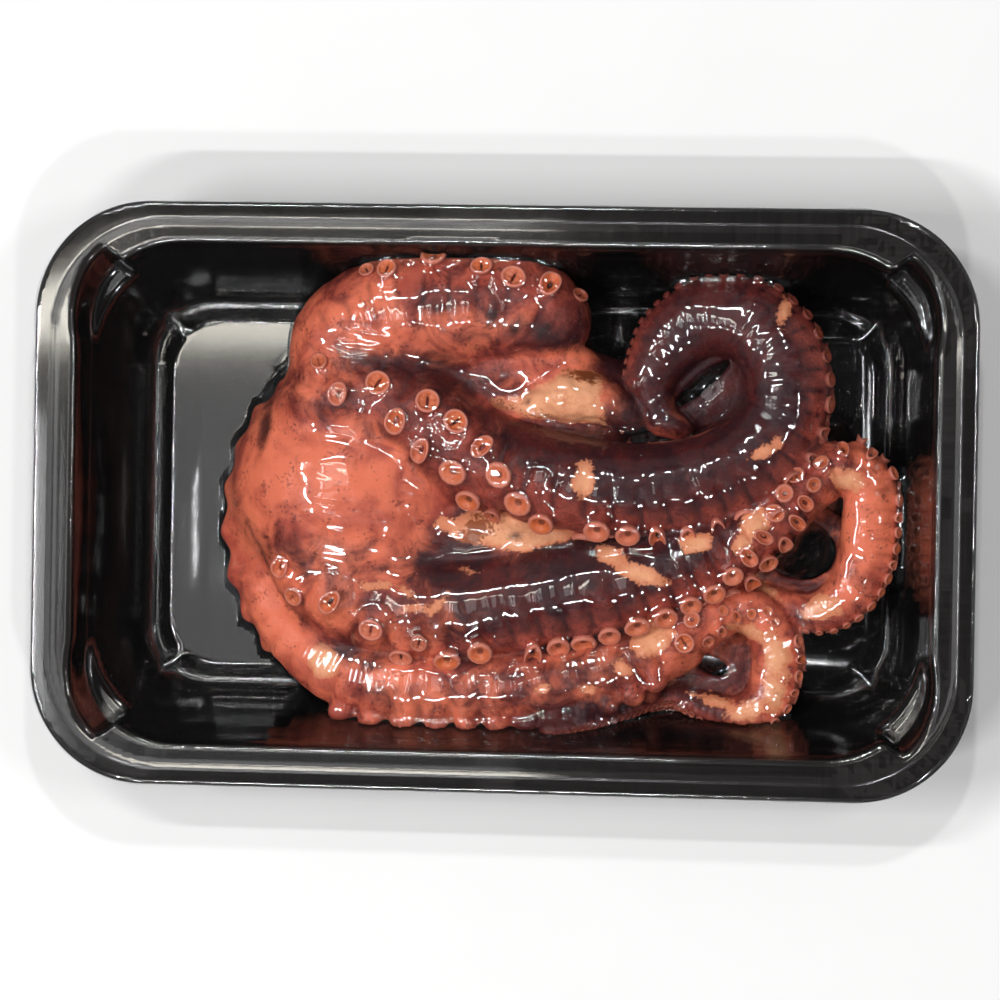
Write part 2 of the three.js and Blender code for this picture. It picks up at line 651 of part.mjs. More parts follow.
const pack = new THREE.Group();
pack.add(namedMesh('tray', trayGeometry, { color: 0x0c0c0e, roughness: 0.22, metalness: 0 }));
pack.add(namedMesh('octopus', octopusGeometry, { color: 0x8c3b2c, roughness: 0.35, metalness: 0 }));
pack.add(namedMesh('film', filmGeometry, {
  color: 0xf4f6f8, roughness: 0.08, metalness: 0, transparent: true, opacity: 0.15,
}));

export default pack;
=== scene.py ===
import math

import bpy
import numpy as np
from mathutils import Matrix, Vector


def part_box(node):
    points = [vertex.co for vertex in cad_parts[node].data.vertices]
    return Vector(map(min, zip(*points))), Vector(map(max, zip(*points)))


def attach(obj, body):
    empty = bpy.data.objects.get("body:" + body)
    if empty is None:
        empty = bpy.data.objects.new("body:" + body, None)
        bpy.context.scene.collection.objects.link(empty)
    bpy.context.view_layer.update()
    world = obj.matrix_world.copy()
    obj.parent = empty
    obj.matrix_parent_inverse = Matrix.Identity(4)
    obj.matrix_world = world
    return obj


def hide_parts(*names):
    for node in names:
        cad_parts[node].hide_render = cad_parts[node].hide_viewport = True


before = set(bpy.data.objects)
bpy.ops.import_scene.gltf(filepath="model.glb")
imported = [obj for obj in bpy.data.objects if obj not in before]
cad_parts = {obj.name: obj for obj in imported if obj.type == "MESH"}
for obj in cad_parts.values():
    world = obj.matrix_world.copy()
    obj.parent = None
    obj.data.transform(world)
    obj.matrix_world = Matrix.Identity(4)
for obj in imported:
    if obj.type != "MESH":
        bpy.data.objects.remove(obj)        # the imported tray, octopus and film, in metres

import openvdb
from bpy.props import FloatProperty, FloatVectorProperty, IntProperty, PointerProperty
from mathutils import Matrix, Vector, noise
from mathutils.bvhtree import BVHTree

bl_info = {
    "name": "Skin-packed octopus",
    "version": (1, 0, 0),
    "blender": (4, 5, 0),
    "location": "3D View > Sidebar > Octopus",
    "description": "Builds a cooked octopus, its black tray and clear film round the packed part",
    "category": "Object",
}

MM = 0.001
BODY = "root"
TRAY_LOW, TRAY_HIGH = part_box("tray")
HALF_LENGTH = (TRAY_HIGH.x - TRAY_LOW.x) / 2 / MM       # the tray's outline and rim, in millimetres
HALF_WIDTH = (TRAY_HIGH.y - TRAY_LOW.y) / 2 / MM
RIM = TRAY_HIGH.z / MM

# Each arm's line from the crown to its tip, in millimetres: x, y, z, half thickness across and
# above the line, the turn of the sucker face from straight up towards the right of travel in
# degrees, the width of a sucker, and how dark the skin is.
ARMS = {
    "short": (
        (-56.5, 35, 17, 11, 12, -50, 5, 0.1), (-48.5, 46.5, 20, 14, 14, -60, 6.5, 0.18),
        (-33, 53, 21, 16.5, 15, -62, 7.5, 0.25), (-15.5, 54.5, 21, 17, 15, -60, 8, 0.36),
        (0, 54.5, 20.5, 16, 14.5, -52, 9.5, 0.42), (10.5, 51.5, 19.5, 13.5, 13.5, -44, 9.5, 0.6),
        (17, 47.5, 18, 9, 11, -40, 8, 0.9),
    ),
    "coiled": (
        (-60.5, 26.5, 21, 12, 12, 10, 5, 0.1), (-43, 28.5, 23, 12, 12, 12, 6.5, 0.3),
        (-25.5, 23, 23.5, 12.5, 12, 14, 9, 0.55), (-8, 12.5, 23, 13.5, 13, 22, 9.7, 0.75),
        (14, 5.5, 23, 13.5, 13, 62, 9, 0.9), (37.5, 3.5, 22.5, 13, 12.5, 84, 8, 0.97),
        (56.5, 6.5, 22, 13, 12, 90, 7, 0.97), (71, 14.5, 20.5, 12.5, 12, 92, 6.2, 0.95),
        (78.5, 27, 19, 12, 11.5, 92, 5.4, 0.95), (77, 42, 18, 12.5, 11, 90, 4.4, 1.05),
        (67.5, 52, 17, 12, 10, 90, 3.4, 1.25), (54.5, 52.5, 16, 11, 9.5, 90, 3, 1.3),
        (44.5, 45, 15, 9.5, 9, 90, 2.6, 1.2), (39.5, 34, 14, 7, 8, 90, 2.3, 1.0),
        (42.5, 24, 14, 5, 6.5, 90, 2, 0.7), (50.5, 20, 14, 2.5, 4.5, 90, 1.6, 0.6),
    ),
    "hooked": (
        (-63, -14, 18, 14, 11.5, 80, 5.5, 0.32), (-47, -25, 19, 15.5, 13, 84, 8, 0.42),
        (-30, -31, 19, 15, 13, 88, 9, 0.45), (-9, -31, 19, 15, 13, 90, 9, 0.7),
        (14, -26.5, 19, 14.5, 13, 88, 8.5, 0.95), (37.5, -22, 19, 13.5, 12.5, 84, 8, 0.95),
        (56.5, -15, 18, 12, 12, 72, 7, 0.9), (72.5, -5.5, 17, 10, 11, 35, 6.2, 0.75),
        (84, 4.5, 15, 8, 10, -5, 5.6, 0.5), (94.5, 10.5, 13, 7.5, 9, -60, 5.2, 0.4),
        (101.5, 6, 12, 7.5, 8.5, -88, 4.8, 0.2), (102.5, -4, 11.5, 8, 8, -90, 4.4, 0.15),
        (101, -15.5, 11, 8, 7.5, -90, 4, 0.15), (96.5, -25.5, 10.5, 7, 7, -90, 3.4, 0.25),
        (88, -30.5, 10, 5.8, 6, -90, 2.8, 0.4), (78.5, -28.5, 9.5, 4, 5, -90, 2.2, 0.4),
        (70.5, -24, 9, 2, 3.5, -90, 1.6, 0.4),
    ),
    "outer": (
        (-74, -17.5, 10.5, 8, 6, 100, 4.5, 0), (-65.5, -34.5, 11.5, 10, 7.5, 98, 6.5, 0.02),
        (-50, -47, 13.5, 12.5, 9.5, 96, 8, 0.15), (-30.5, -53.5, 15.5, 12.2, 11.5, 94, 9, 0.36),
        (-9, -54, 15.5, 11.8, 11.5, 92, 9, 0.42), (12, -52, 15.5, 10.8, 11.5, 90, 8.2, 0.5),
        (32, -47, 15, 9.8, 11, 84, 7.6, 0.5), (45.5, -41, 14.5, 9.4, 10.5, 60, 7, 0.45),
        (56, -33, 14, 8, 9.5, 10, 6.2, 0.35), (66, -29.5, 13, 6.8, 8, -45, 5.4, 0.25),
        (74, -34.5, 12, 7, 7.5, -75, 4.8, 0.2), (76.5, -45, 11.5, 7.2, 7, -80, 4.2, 0.2),
        (74, -55.5, 11, 6.6, 6.8, -80, 3.6, 0.25), (66, -60.3, 11.5, 5.4, 5.6, -75, 3, 0.45),
        (57, -58.7, 9.5, 4.4, 4.8, -65, 2.6, 0.75), (49, -55.5, 7.5, 3.7, 4.0, -60, 2.4, 0.9),
        (42, -56, 7.5, 3.2, 3.6, -60, 2.3, 1.0), (35, -59, 10.5, 2.9, 3.3, -60, 2.3, 1.2),
        (27.5, -62, 16.5, 2.6, 3.0, -55, 2.2, 1.2), (19.5, -64.2, 21, 2.4, 2.8, -50, 2.0, 1.2),
        (11.5, -65.7, 24.3, 1.8, 2.2, -50, 1.6, 1.2),
    ),
}

# The pale ridge of torn flesh between the short arm and the coiled one, in the arms' columns.
FLESH_RIDGE = (
    (-9.5, 27.5, 19, 3, 5, 0, 0, 0), (4, 26.3, 20, 4.4, 5.5, 0, 0, 0),
    (17, 29.5, 21, 7.5, 8, 0, 0, 0), (28, 27.5, 20, 6, 7, 0, 0, 0.55),
    (36.5, 22, 16.5, 3.5, 5, 0, 0, 0.9),
)

# The crown and the webs as ripple-edged balls: centre, radii, ripples round, ripple depth and how
# dark the skin is.
WEBS = (
    ((-47, 3, 14), (34, 33, 22), 0, 0, 0.02),
    ((-53, -8, 9), (32, 45, 8.5), 22, 0.03, 0.0),
    ((-41, -33, 12), (28, 20, 13), 0, 0, 0.3),
    ((-38, 40, 13), (26, 15, 15), 0, 0, 0.15),
    ((0, 27, 11), (38, 20, 13), 5, 0.03, 0.85),
    ((2, 38.5, 18), (20, 9, 8.8), 5, 0.04, 0.10),
    ((-9, -11, 13), (34, 13, 13), 0, 0, 0.55),
    ((54, 36, 7), (22, 18, 6), 5, 0.03, 0.95),
    ((79, -13, 6), (20, 14, 4), 5, 0.04, 0.75),
    ((59, -47, 6), (18, 11, 3.5), 5, 0.04, 0.75),
)

# Where the skin is rubbed off down to the pale flesh: x, y, half length, half width and angle in
# degrees.
PALE_PATCHES = (
    (23.9, 5.8, 3.1, 5.4, -5), (74.5, 14.9, 4.5, 1.8, 35), (78.4, 53.6, 1.7, 4.0, 0),
    (31.3, -15.5, 5.8, 2.7, -20), (39.8, -20.4, 7.6, 2.6, -20), (54.9, -11.4, 4.5, 3.1, 0),
    (71.6, -5.7, 5.0, 4.0, 45), (68.7, -11.8, 2.5, 3.6, -20), (-34.9, -25.1, 4.5, 1.4, 6),
    (-27.0, -27.5, 4.0, 1.0, -30), (-23.8, -31.2, 4.0, 1.5, 10), (-18.3, -30.5, 3.6, 1.5, 40),
    (-9.5, -20.3, 2.3, 0.9, 0), (42.4, -38.6, 6.6, 5.2, 45), (34.4, -47.4, 3.1, 1.5, -30),
    (24.0, -53.8, 2.3, 1.2, 0), (11.7, -53.6, 2.8, 1.4, 30), (-52.7, -47.7, 4.8, 5.1, 60),
    (96.9, 7.1, 4.8, 3.1, -10), (89.9, -29.1, 5.9, 3.2, 10), (73.3, -24.1, 5.6, 1.2, -35),
    (69.6, -36.5, 6.0, 2.2, -20), (77.4, -43.7, 3.6, 8.0, 8), (76.6, -53.4, 3.6, 6.4, -8),
    (69.4, -59.0, 7.6, 2.8, 15), (60.1, -56.5, 6.6, 1.8, -15),
)
TORN_WEB = 6            # the web whose edge is torn, between the coiled and the hooked arm
WEB_PALE = (4.0, -10.2, 24, 5.0, -8)        # where its torn edge is pale
RIDGE_TORN = 27.5       # where the torn flesh of the ridge ends, along the tray

# Dark stains and slits in the skin, and painted shade along one crease, in the same columns.
STAINS_AND_CREASE_SHADE = (
    (-3.2, 51.7, 2.2, 3.6, -10), (3.3, 48.7, 2.0, 4.8, -35), (11.3, 48.0, 1.9, 4.0, -45),
    (-26.2, -23.3, 1.2, 1.5, 0), (-24.5, -28.4, 1.4, 0.9, 0), (-33.9, -20.3, 3.2, 1.2, 15),
    (-70.2, 19.6, 2.6, 7.6, -3),
    # The three long thin ones from (-71.8, -15.2) on are painted shade along the crease beside the
    # outer arm's root.
    (3.0, -10.4, 2.5, 1.5, 10), (-71.8, -15.2, 13, 0.9, -65), (-59.6, -34.6, 10.5, 0.9, -49),
    (-45.4, -45.6, 8.6, 0.9, -20), (5.8, 27.9, 1.3, 1.0, 60), (1.5, 30.4, 10, 0.8, 2),
)
SLIT = ((-70.2, 19.6), 1.3, 6.4, 1.8)   # centre, half width, half length, depth
OLIVE = ((-8.2, -9.1, 4.8, 3.6, 20), (22, 36, 6.5, 1.7, -14), (-2.5, 26.6, 5.0, 1.3, -12),
         (10.5, 23.0, 4.5, 0.9, -4))

# Openings in the webs inside the coils, in the same columns.
OPENINGS = ((53.5, 33.6, 10.6, 2.3, 40), (82.0, -12.9, 10.6, 8.6, -12),
            (57.6, -46.8, 5.0, 2.6, -18))

# Soft clouds that darken the skin, and lighten it where the value is negative: x, y, half length,
# half width, angle and how much darker. Some are painted light and shade, as marked below.
CLOUDS_AND_PAINTED_LIGHT = (
    # The first two lighten the left-facing side of the web: painted light where the lamps leave it
    # dim.
    (-71, -11, 9, 20, 20, -0.10), (-62, -32, 15, 12, -45, -0.40), (-51, 27, 16, 8, 0, 0.18),
    (-21, 19, 30, 13, -32, 0.34), (-49, -17, 22, 7, -8, 0.20), (-61, -17, 14, 5, -62, 0.30),
    (-18, -17.7, 16, 11, 0, 0.36), (-29.4, -22.4, 12, 5, -10, -0.30),
    (-45.7, 62.9, 13, 6, 20, 0.40), (-12, 60, 22, 7, 0, 0.30), (-22, 36.8, 30, 4.5, -8, 0.45),
    (-35, 46, 12, 8, 0, -0.10), (-40, 6, 15, 11, 0, -0.14), (-60, -43, 12, 9, -30, -0.25),
    (-26, -50, 11, 3, 5, -0.45), (-19, 56, 7, 4, -20, 0.45), (16, 50, 7, 9, 0, 0.45),
    # The last three are painted shade along the crease beside the outer arm's root.
    (-71.5, -14, 13, 4.5, -66, 0.42), (-59.5, -33.5, 12, 4.5, -49, 0.5),
    (-45, -44.5, 10, 4, -20, 0.45),
)

# The cups: where the even rows begin on each arm, where their cups begin, and the cups before
# that: run along the arm in millimetres, angle from straight up, diameter and kind (0 round,
# 1 slit, 2 folded).
CUPS = {
    "short": (999, 999, (
        (28, -48, 4.5, 2), (33, -39, 5.6, 2), (44, -52, 7.3, 0), (57.5, -39, 6.1, 2),
        (65, -31, 7.0, 2), (68, -66, 7.8, 0), (73, -32, 7.8, 1), (79, -61, 5.0, 2),
    )),
    "coiled": (87, 87, (
        (10.5, -39, 5.0, 2), (15.5, -3, 7.5, 1), (24.5, -22, 7.5, 2), (33, 13, 7.8, 1),
        (38, -25, 6.7, 2), (43.5, 25, 7.8, 1), (47, -23, 7.3, 2), (54, 27, 7.8, 0),
        (58.5, -13, 7.5, 1), (60, 53, 7.5, 0), (66, 9, 8.1, 0), (66.5, 77, 5.6, 2),
        (73, 35, 7.5, 0), (79.5, 50, 7.5, 0),
    )),
    "hooked": (67, 67, (
        (3.5, 30, 6.7, 1), (11.5, 44, 5.6, 2), (20.5, 21, 7.5, 1), (32.5, 33, 7.0, 2),
        (40, 54, 6.7, 2), (44.5, 40, 5.0, 2), (51, 60, 8.1, 0), (60, 54, 7.3, 0),
    )),
    "outer": (44, 175, (
        (143.5, 13, 5.6, 2), (149, -5, 5.0, 0), (149, 45, 3.9, 2), (153.5, -28, 4.5, 0),
        (154.5, 37, 3.9, 2), (157.5, 5, 3.1, 0), (161.5, 20, 3.6, 0), (166, 3, 3.3, 0),
        (169, -19, 3.1, 2), (172, -26, 2.8, 0),
    )),
}
# Cups beside the crown, where the web hides their arm: place, facing, diameter and kind.
FREE_CUPS = (((-76.0, -5.6, 18.5), (-0.6, 0.0, 0.8), 6.4, 1),
             ((-73.9, -16.0, 16.5), (-0.7, -0.2, 0.7), 4.5, 2))
ROWS_PAUSE = {"outer": (132, 175)}      # where the table's cups take the place of the even rows
PLEATS = {"short": 0.4, "coiled": 1.0, "hooked": 1.1, "outer": 1.0}     # shares of their depth


# ---- sizes and colours ----------------------------------------------------------------------

def colour(name, text, value):
    return FloatVectorProperty(name=name, description=text, subtype="COLOR", size=3, min=0, max=1,
                               default=value)


def length(name, text, value):
    return FloatProperty(name=name, description=text, default=value * MM, unit="LENGTH",
                         precision=5)


def share(name, text, value):
    return FloatProperty(name=name, description=text, default=value)


def number(name, text, value):
    return IntProperty(name=name, description=text, default=value)


class OCTO_PG_tray(bpy.types.PropertyGroup):
    sheet: length("Sheet", "Thickness of the formed sheet", 1.0)
    rim_corner: length("Rim corner", "Corner radius of the rim", 33)
    panel_rise: length("Panel rise", "How far the floor panel stands above the floor", 2.8)
    lug_reach: length("Lug reach", "How far each stacking lug's pocket reaches out", 4.6)
    black: colour("Black", "Colour of the plastic", (0.006, 0.0055, 0.0055))
    rim: colour("Rim", "Colour of the scuffed rim", (0.033, 0.030, 0.029))
    gloss: share("Roughness", "Roughness of the plastic", 0.045)


class OCTO_PG_flesh(bpy.types.PropertyGroup):
    voxel: length("Voxel", "Grid pitch of the flesh", 0.9)
    pleat: length("Pleat depth", "Depth of the pleats between two suckers", 1.5)
    lumps: length("Lumps", "Height of the skin's soft lumps", 0.35)
    web_light: colour("Web, light", "Lighter colour of the web", (0.86, 0.205, 0.108))
    web_deep: colour("Web, deep", "Deeper colour of the web", (0.44, 0.076, 0.050))
    arm_light: colour("Arm, light", "Redder colour of dark skin", (0.135, 0.020, 0.016))
    arm_deep: colour("Arm, deep", "Darker colour of dark skin", (0.038, 0.010, 0.013))
    flank: colour("Flank", "Colour of the arms beside the suckers", (0.44, 0.082, 0.054))
    cream: colour("Pale flesh", "Colour of the flesh under the skin", (0.90, 0.41, 0.215))
    blush: colour("Pale flesh, warm", "Colour of pale flesh near the skin", (0.72, 0.235, 0.115))
    # Also the colour of the painted shade along the crease beside the outer arm's root.
    stain_and_shade: colour("Stain", "Colour of stains and slits", (0.022, 0.012, 0.015))
    olive: colour("Brown stain", "Colour of brown stains on the pale flesh", (0.27, 0.060, 0.014))
    seed: number("Seed", "Seed of the lumps", 7)


class OCTO_PG_suckers(bpy.types.PropertyGroup):
    pitch: share("Pitch", "Distance of the suckers in a row, in widths of a sucker", 0.92)
    fill: share("Fill", "Diameter of a cup, in widths of a sucker", 0.92)
    row_angle: FloatProperty(name="Row angle", default=math.radians(21), subtype="ANGLE",
                             description="Angle of each row off the middle of the face")
    squeeze: share("Squeeze", "How far a cup is pressed out of round", 0.10)
    lift: share("Lift", "How far the cups turn up towards the film", 0.25)
    tilt: share("Tilt", "How far the cups along an edge turn up", 0.28)
    stand: share("Stand", "How far a cup stands off the arm, in cup radii", 0.5)
    disc: colour("Disc", "Colour inside the cups", (0.68, 0.155, 0.050))
    rim: colour("Rim", "Colour of the cups' rims", (0.68, 0.215, 0.145))
    pit: colour("Pit", "Colour of the pit in each cup", (0.085, 0.016, 0.009))
    seed: number("Seed", "Seed of the cups' turns and tints", 11)


class OCTO_PG_film(bpy.types.PropertyGroup):
    thickness: length("Thickness", "Thickness of the film", 0.12)
    gap: length("Gap", "Clearance between the film and what it covers", 0.12)
    cell: length("Cell", "Grid pitch of the film", 1.0)
    wrinkle: length("Wrinkles", "Height of the wrinkles where the film hangs free", 0.5)
    tautness: number("Tautness", "How many cells the film reaches out", 1)
    relax: number("Relax", "How often the film is drawn straight between contacts", 8)
    wave: length("Waves", "Height of the soft waves where the film lies on the flesh", 0.26)
    slope: share("Slope", "The steepest slope of the film", 3.0)
    gloss: share("Roughness", "Roughness of the film", 0.06)
    reflect: share("Reflection", "Share of light that the film reflects head on", 0.056)
    tint: colour("Tint", "Light that the film lets through", (0.97, 0.975, 0.98))


class OCTO_PG_stage(bpy.types.PropertyGroup):
    floor: colour("Floor", "Colour of the floor", (0.93, 0.93, 0.93))
    world: share("Surround", "Brightness of the surround", 0.025)
    band: share("Band", "Brightness of the band of surround that the folds reflect", 0.14)
    lamps: share("Lamps", "Brightness of the ring of long lamps", 90.0)
    window: share("Window", "Brightness of the window that the bare panel reflects", 13.5)
    strip: share("Strip", "Brightness of the strip that the left flange reflects", 7.5)
    ceiling: share("Ceiling", "Brightness of the ceiling over the tray's bare end", 1.3)


# ---- materials ------------------------------------------------------------------------------

class Value:
    """A socket's value, for use in Python expressions."""

    def __init__(self, tree, socket):
        self.tree = tree
        self.socket = socket

    def math(self, operation, *values):
        return self.tree.node("ShaderNodeMath", {"operation": operation}, dict(enumerate(values)))

    def __add__(self, other):
        return self.math("ADD", self, other)

    def __sub__(self, other):
        return self.math("SUBTRACT", self, other)

    def __mul__(self, other):
        return self.math("MULTIPLY", self, other)

    def __rsub__(self, other):
        return self.math("SUBTRACT", other, self)

    __radd__ = __add__
    __rmul__ = __mul__

    def ramp(self, low, high):
        """0 below low, 1 above high and smooth between them; low may be the larger."""
        return self.tree.node("ShaderNodeMapRange", {"interpolation_type": "SMOOTHSTEP"},
                              {0: self, 1: low, 2: high})


class Tree:
    """A node tree that is filled by one method."""

    def __init__(self, nodes):
        self.nodes = nodes

    def node(self, kind, settings=None, values=None, output=0):
        made = self.nodes.nodes.new(kind)
        for key, value in (settings or {}).items():
            setattr(made, key, value)
        for key, value in (values or {}).items():
            if isinstance(value, Value):
                self.nodes.links.new(value.socket, made.inputs[key])
            else:
                made.inputs[key].default_value = value
        return Value(self, made.outputs[output])


class Finish(Tree):
    """One material."""

    def __init__(self, name):
        self.material = bpy.data.materials.new(name)
        self.material.use_nodes = True
        super().__init__(self.material.node_tree)
        self.nodes.nodes.clear()
        self.place = self.node("ShaderNodeTexCoord", output="Object")

    def attribute(self, name, output="Fac"):
        return self.node("ShaderNodeAttribute", {"attribute_name": name}, output=output)

    def stretched(self, place, scale):
        return self.node("ShaderNodeMapping", values={"Vector": place, "Scale": scale})

    def noise(self, size, detail=3.0, place=None, rough=0.5, warp=0.0):
        """Soft noise about 0.5 whose features are size millimetres across."""
        return self.node("ShaderNodeTexNoise", values={
            "Vector": place or self.place, "Scale": 1 / (size * MM), "Detail": detail,
            "Roughness": rough, "Distortion": warp})

    def mix(self, factor, low, high):
        low, high = (v if isinstance(v, Value) else (*v, 1) for v in (low, high))
        return self.node("ShaderNodeMix", {"data_type": "RGBA"}, {0: factor, 6: low, 7: high},
                         output=2)

    def bump(self, height, distance, strength=1.0, under=None):
        values = {"Height": height, "Distance": distance * MM, "Strength": strength}
        if under:
            values["Normal"] = under
        return self.node("ShaderNodeBump", values=values)

    def surface(self, shader):
        out = self.nodes.nodes.new("ShaderNodeOutputMaterial")
        self.nodes.links.new(shader.socket, out.inputs["Surface"])
        return self.material

    def principled(self, tone, roughness, specular=0.5, normal=None):
        values = {"Base Color": tone, "Roughness": roughness, "Specular IOR Level": specular}
        if normal:
            values["Normal"] = normal
        return self.surface(self.node("ShaderNodeBsdfPrincipled", values=values))


def flesh_finish(sizes):
    """Wet cooked skin: orange web, dark arms, pale flesh where the skin is gone."""
    f = Finish("octopus_skin")
    broad, middling, fine = f.noise(18, 2, warp=0.5), f.noise(4.5, 3), f.noise(0.9, 2)
    veil = f.noise(9, 3, rough=0.65, warp=0.8)
    dark, flank, groove_shade = f.attribute("dark"), f.attribute("flank"), f.attribute("groove_shade")
    web = (broad * 1.5 + veil * 0.8 + dark.ramp(-0.6, 0.1) * 0.4 - 1.05).ramp(0.25, 0.8)
    web = f.mix(web, sizes.web_light, sizes.web_deep)
    arm = f.mix((middling + broad - 0.5).ramp(0.25, 0.8), sizes.arm_deep, sizes.arm_light)
    beside = f.mix(veil.ramp(0.42, 0.85), sizes.flank, sizes.arm_light)
    arm = f.mix((flank + (middling - 0.5) * 0.6).ramp(0.2, 1.0), arm, beside)
    skin = f.mix((dark + (veil - 0.5) * 0.9 + (middling - 0.5) * 0.4).ramp(0.1, 0.8), web, arm)
    haze = (veil * 0.7 + fine * 0.3 + dark * 0.25).ramp(0.55, 0.8)
    skin = f.mix(haze * 0.4, skin, sizes.arm_deep)
    freckles = (fine * 0.6 + middling * 0.5).ramp(0.63, 0.70)
    skin = f.mix(freckles * 0.5, skin, sizes.arm_deep)
    # Painted shade: the grooves between the pleats darken towards the deep arm colour, more on dark
    # skin.
    skin = f.mix(groove_shade.ramp(0.15, 0.9) * (dark * 0.75 + 0.15), skin, sizes.arm_deep)
    ragged = (middling - 0.5) * 4.0 + (fine - 0.5) * 2.2
    bare = f.attribute("pale") + ragged
    pale = bare.ramp(-0.4, 0.5)
    warm = veil * 0.7 + (broad - 0.5) * 0.8 + bare.ramp(2.2, 0.0) * 0.5
    cream = f.mix(warm.ramp(0.25, 0.9) * 0.9, sizes.cream, sizes.blush)
    cream = f.mix((middling + (fine - 0.5) * 0.8).ramp(0.50, 0.74) * 0.5, cream, sizes.blush)
    skin = f.mix(pale, skin, cream)
    brown = (f.attribute("olive") + ragged * 1.3 + (fine - 0.5) * 3).ramp(-0.4, 0.9)
    skin = f.mix(brown * pale * 0.9, skin, sizes.olive)
    # Stains and slits, and painted shade along the crease beside the outer arm's root.
    stain_and_shade_share = (f.attribute("stain_and_shade") + ragged * 0.45).ramp(-0.8, 1.7)
    skin = f.mix(stain_and_shade_share * 0.86, skin, sizes.stain_and_shade)
    normal = f.bump(middling * 0.25 + fine * 0.1 - pale * 0.15, 1.0)
    return f.principled(skin, fine.ramp(0.2, 0.8) * 0.16 + 0.3, 0.2, normal)


def sucker_finish(sizes, flesh):
    """Cups: orange disc with a dark pit, paler rim, and the arm's red on the stalk."""
    f = Finish("octopus_suckers")
    ring, tint = f.attribute("ring"), f.attribute("tint")
    fine = f.noise(0.8, 3)
    disc = f.mix(tint * 0.6, sizes.disc, sizes.rim)
    face = f.mix(ring.ramp(0.16, 0.34), sizes.pit, disc)
    face = f.mix((fine.ramp(0.55, 0.75) * 0.5) * ring.ramp(0.8, 0.6), face, sizes.pit)
    face = f.mix((ring + (fine - 0.5) * 0.2).ramp(0.70, 0.86), face, sizes.rim)
    stalk = (f.noise(3, 3) + (tint - 0.5) * 0.4).ramp(0.35, 0.7)
    stalk = f.mix(stalk, flesh.flank, flesh.arm_light)
    skin = f.mix(ring.ramp(1.05, 1.4), face, stalk)
    skin = f.mix(f.attribute("shade") * 0.75, skin, flesh.arm_light)
    return f.principled(skin, fine.ramp(0.2, 0.8) * 0.15 + 0.25, 0.3, f.bump(fine, 0.12, 0.6))


def tray_finish(sizes):
    """Glossy black formed sheet with faint drawn streaks."""
    f = Finish("black_tray")
    streaks = f.noise(1.1, 3, f.stretched(f.place, (0.05, 1.0, 1.0)))
    cross = f.noise(1.1, 3, f.stretched(f.place, (1.0, 0.05, 1.0)))
    cloud = f.noise(22, 3, warp=0.5)
    dust = f.noise(0.5, 2)
    drawn = f.mix(*(f.mix(v, (0, 0, 0), (1, 1, 1)) for v in (cloud.ramp(0.4, 0.6), streaks, cross)))
    height = f.node("ShaderNodeRGBToBW", values={"Color": drawn})
    normal = f.bump(cloud, 0.6, 0.25)
    normal = f.bump(height, 0.02, 0.35, normal)
    high = f.node("ShaderNodeSeparateXYZ", values={0: f.place}, output="Z").ramp(0.0355, 0.0370)
    tone = f.mix(high * (height * 1.1 + 0.2), sizes.black, sizes.rim)
    tone = f.mix(dust.ramp(0.62, 0.8) * 0.2, tone, sizes.rim)
    return f.principled(tone, height * 0.12 + sizes.gloss, 0.3, normal)


def film_finish(sizes):
    """Clear shrink film: it lets nearly all light through, and thread-like wrinkles reflect it."""
    f = Finish("clear_film")
    stretched = f.stretched(f.attribute("flow", "Vector"), (1.0, 0.09, 1.0))
    threads = f.noise(4.6, 0, stretched) * 2.0 - 1.0
    threads = (1 - threads.math("ABSOLUTE", threads)).ramp(0.62, 1.0)
    normal = f.bump(threads * f.attribute("slack"), 0.26)
    facing = f.node("ShaderNodeLayerWeight", values={"Blend": 0.5}, output="Facing")
    glance = facing.math("POWER", facing, 5.0) * 0.75 + sizes.reflect
    clear = f.node("ShaderNodeBsdfTransparent", values={"Color": (*sizes.tint, 1)})
    shine = f.node("ShaderNodeBsdfGlossy", values={
        "Color": (1, 1, 1, 1), "Roughness": sizes.gloss, "Normal": normal})
    share_of_shine = (glance + f.attribute("edge") * 0.2) * f.attribute("outside")
    shader = f.node("ShaderNodeMixShader", values={0: share_of_shine, 1: clear, 2: shine})
    return f.surface(shader)


def plain_finish(name, tone, roughness):
    f = Finish(name)
    return f.principled(f.mix(f.noise(40, 2), tone, [c * 0.97 for c in tone]), roughness)


# ---- meshes ---------------------------------------------------------------------------------

def mesh_object(name, points_mm, faces, material=None):
    mesh = bpy.data.meshes.new(name)
    mesh.from_pydata(np.asarray(points_mm, float) * MM, [], faces)
    mesh.polygons.foreach_set("use_smooth", np.ones(len(mesh.polygons), bool))
    mesh.update()
    piece = bpy.data.objects.new(name, mesh)
    bpy.context.scene.collection.objects.link(piece)
    if material:
        mesh.materials.append(material)
    return piece


def set_attribute(mesh, name, values, kind="FLOAT"):
    layer = mesh.attributes.new(name, kind, "POINT")
    field = "vector" if kind == "FLOAT_VECTOR" else "value"
    values = np.asarray(values, np.int32 if kind == "INT" else np.float32)
    layer.data.foreach_set(field, values.ravel())


def rows_of(vectors, field):
    """A mesh's vectors as an array with a row for each."""
    values = np.empty(len(vectors) * 3, np.float32)
    vectors.foreach_get(field, values)
    return values.reshape(-1, 3)


def surfaces(*names):
    """Finished pieces as trees that rays can be cast on."""
    graph = bpy.context.evaluated_depsgraph_get()
    return [BVHTree.FromObject(bpy.data.objects[name], graph) for name in names]


def move_points(mesh, points_mm):
    mesh.vertices.foreach_set("co", (points_mm * MM).astype(np.float32).ravel())


def ease(values, low, high):
    """0 at low, 1 at high and smooth between them; low may be the larger."""
    t = np.clip((np.asarray(values, float) - low) / (high - low), 0, 1)
    return t * t * (3 - 2 * t)


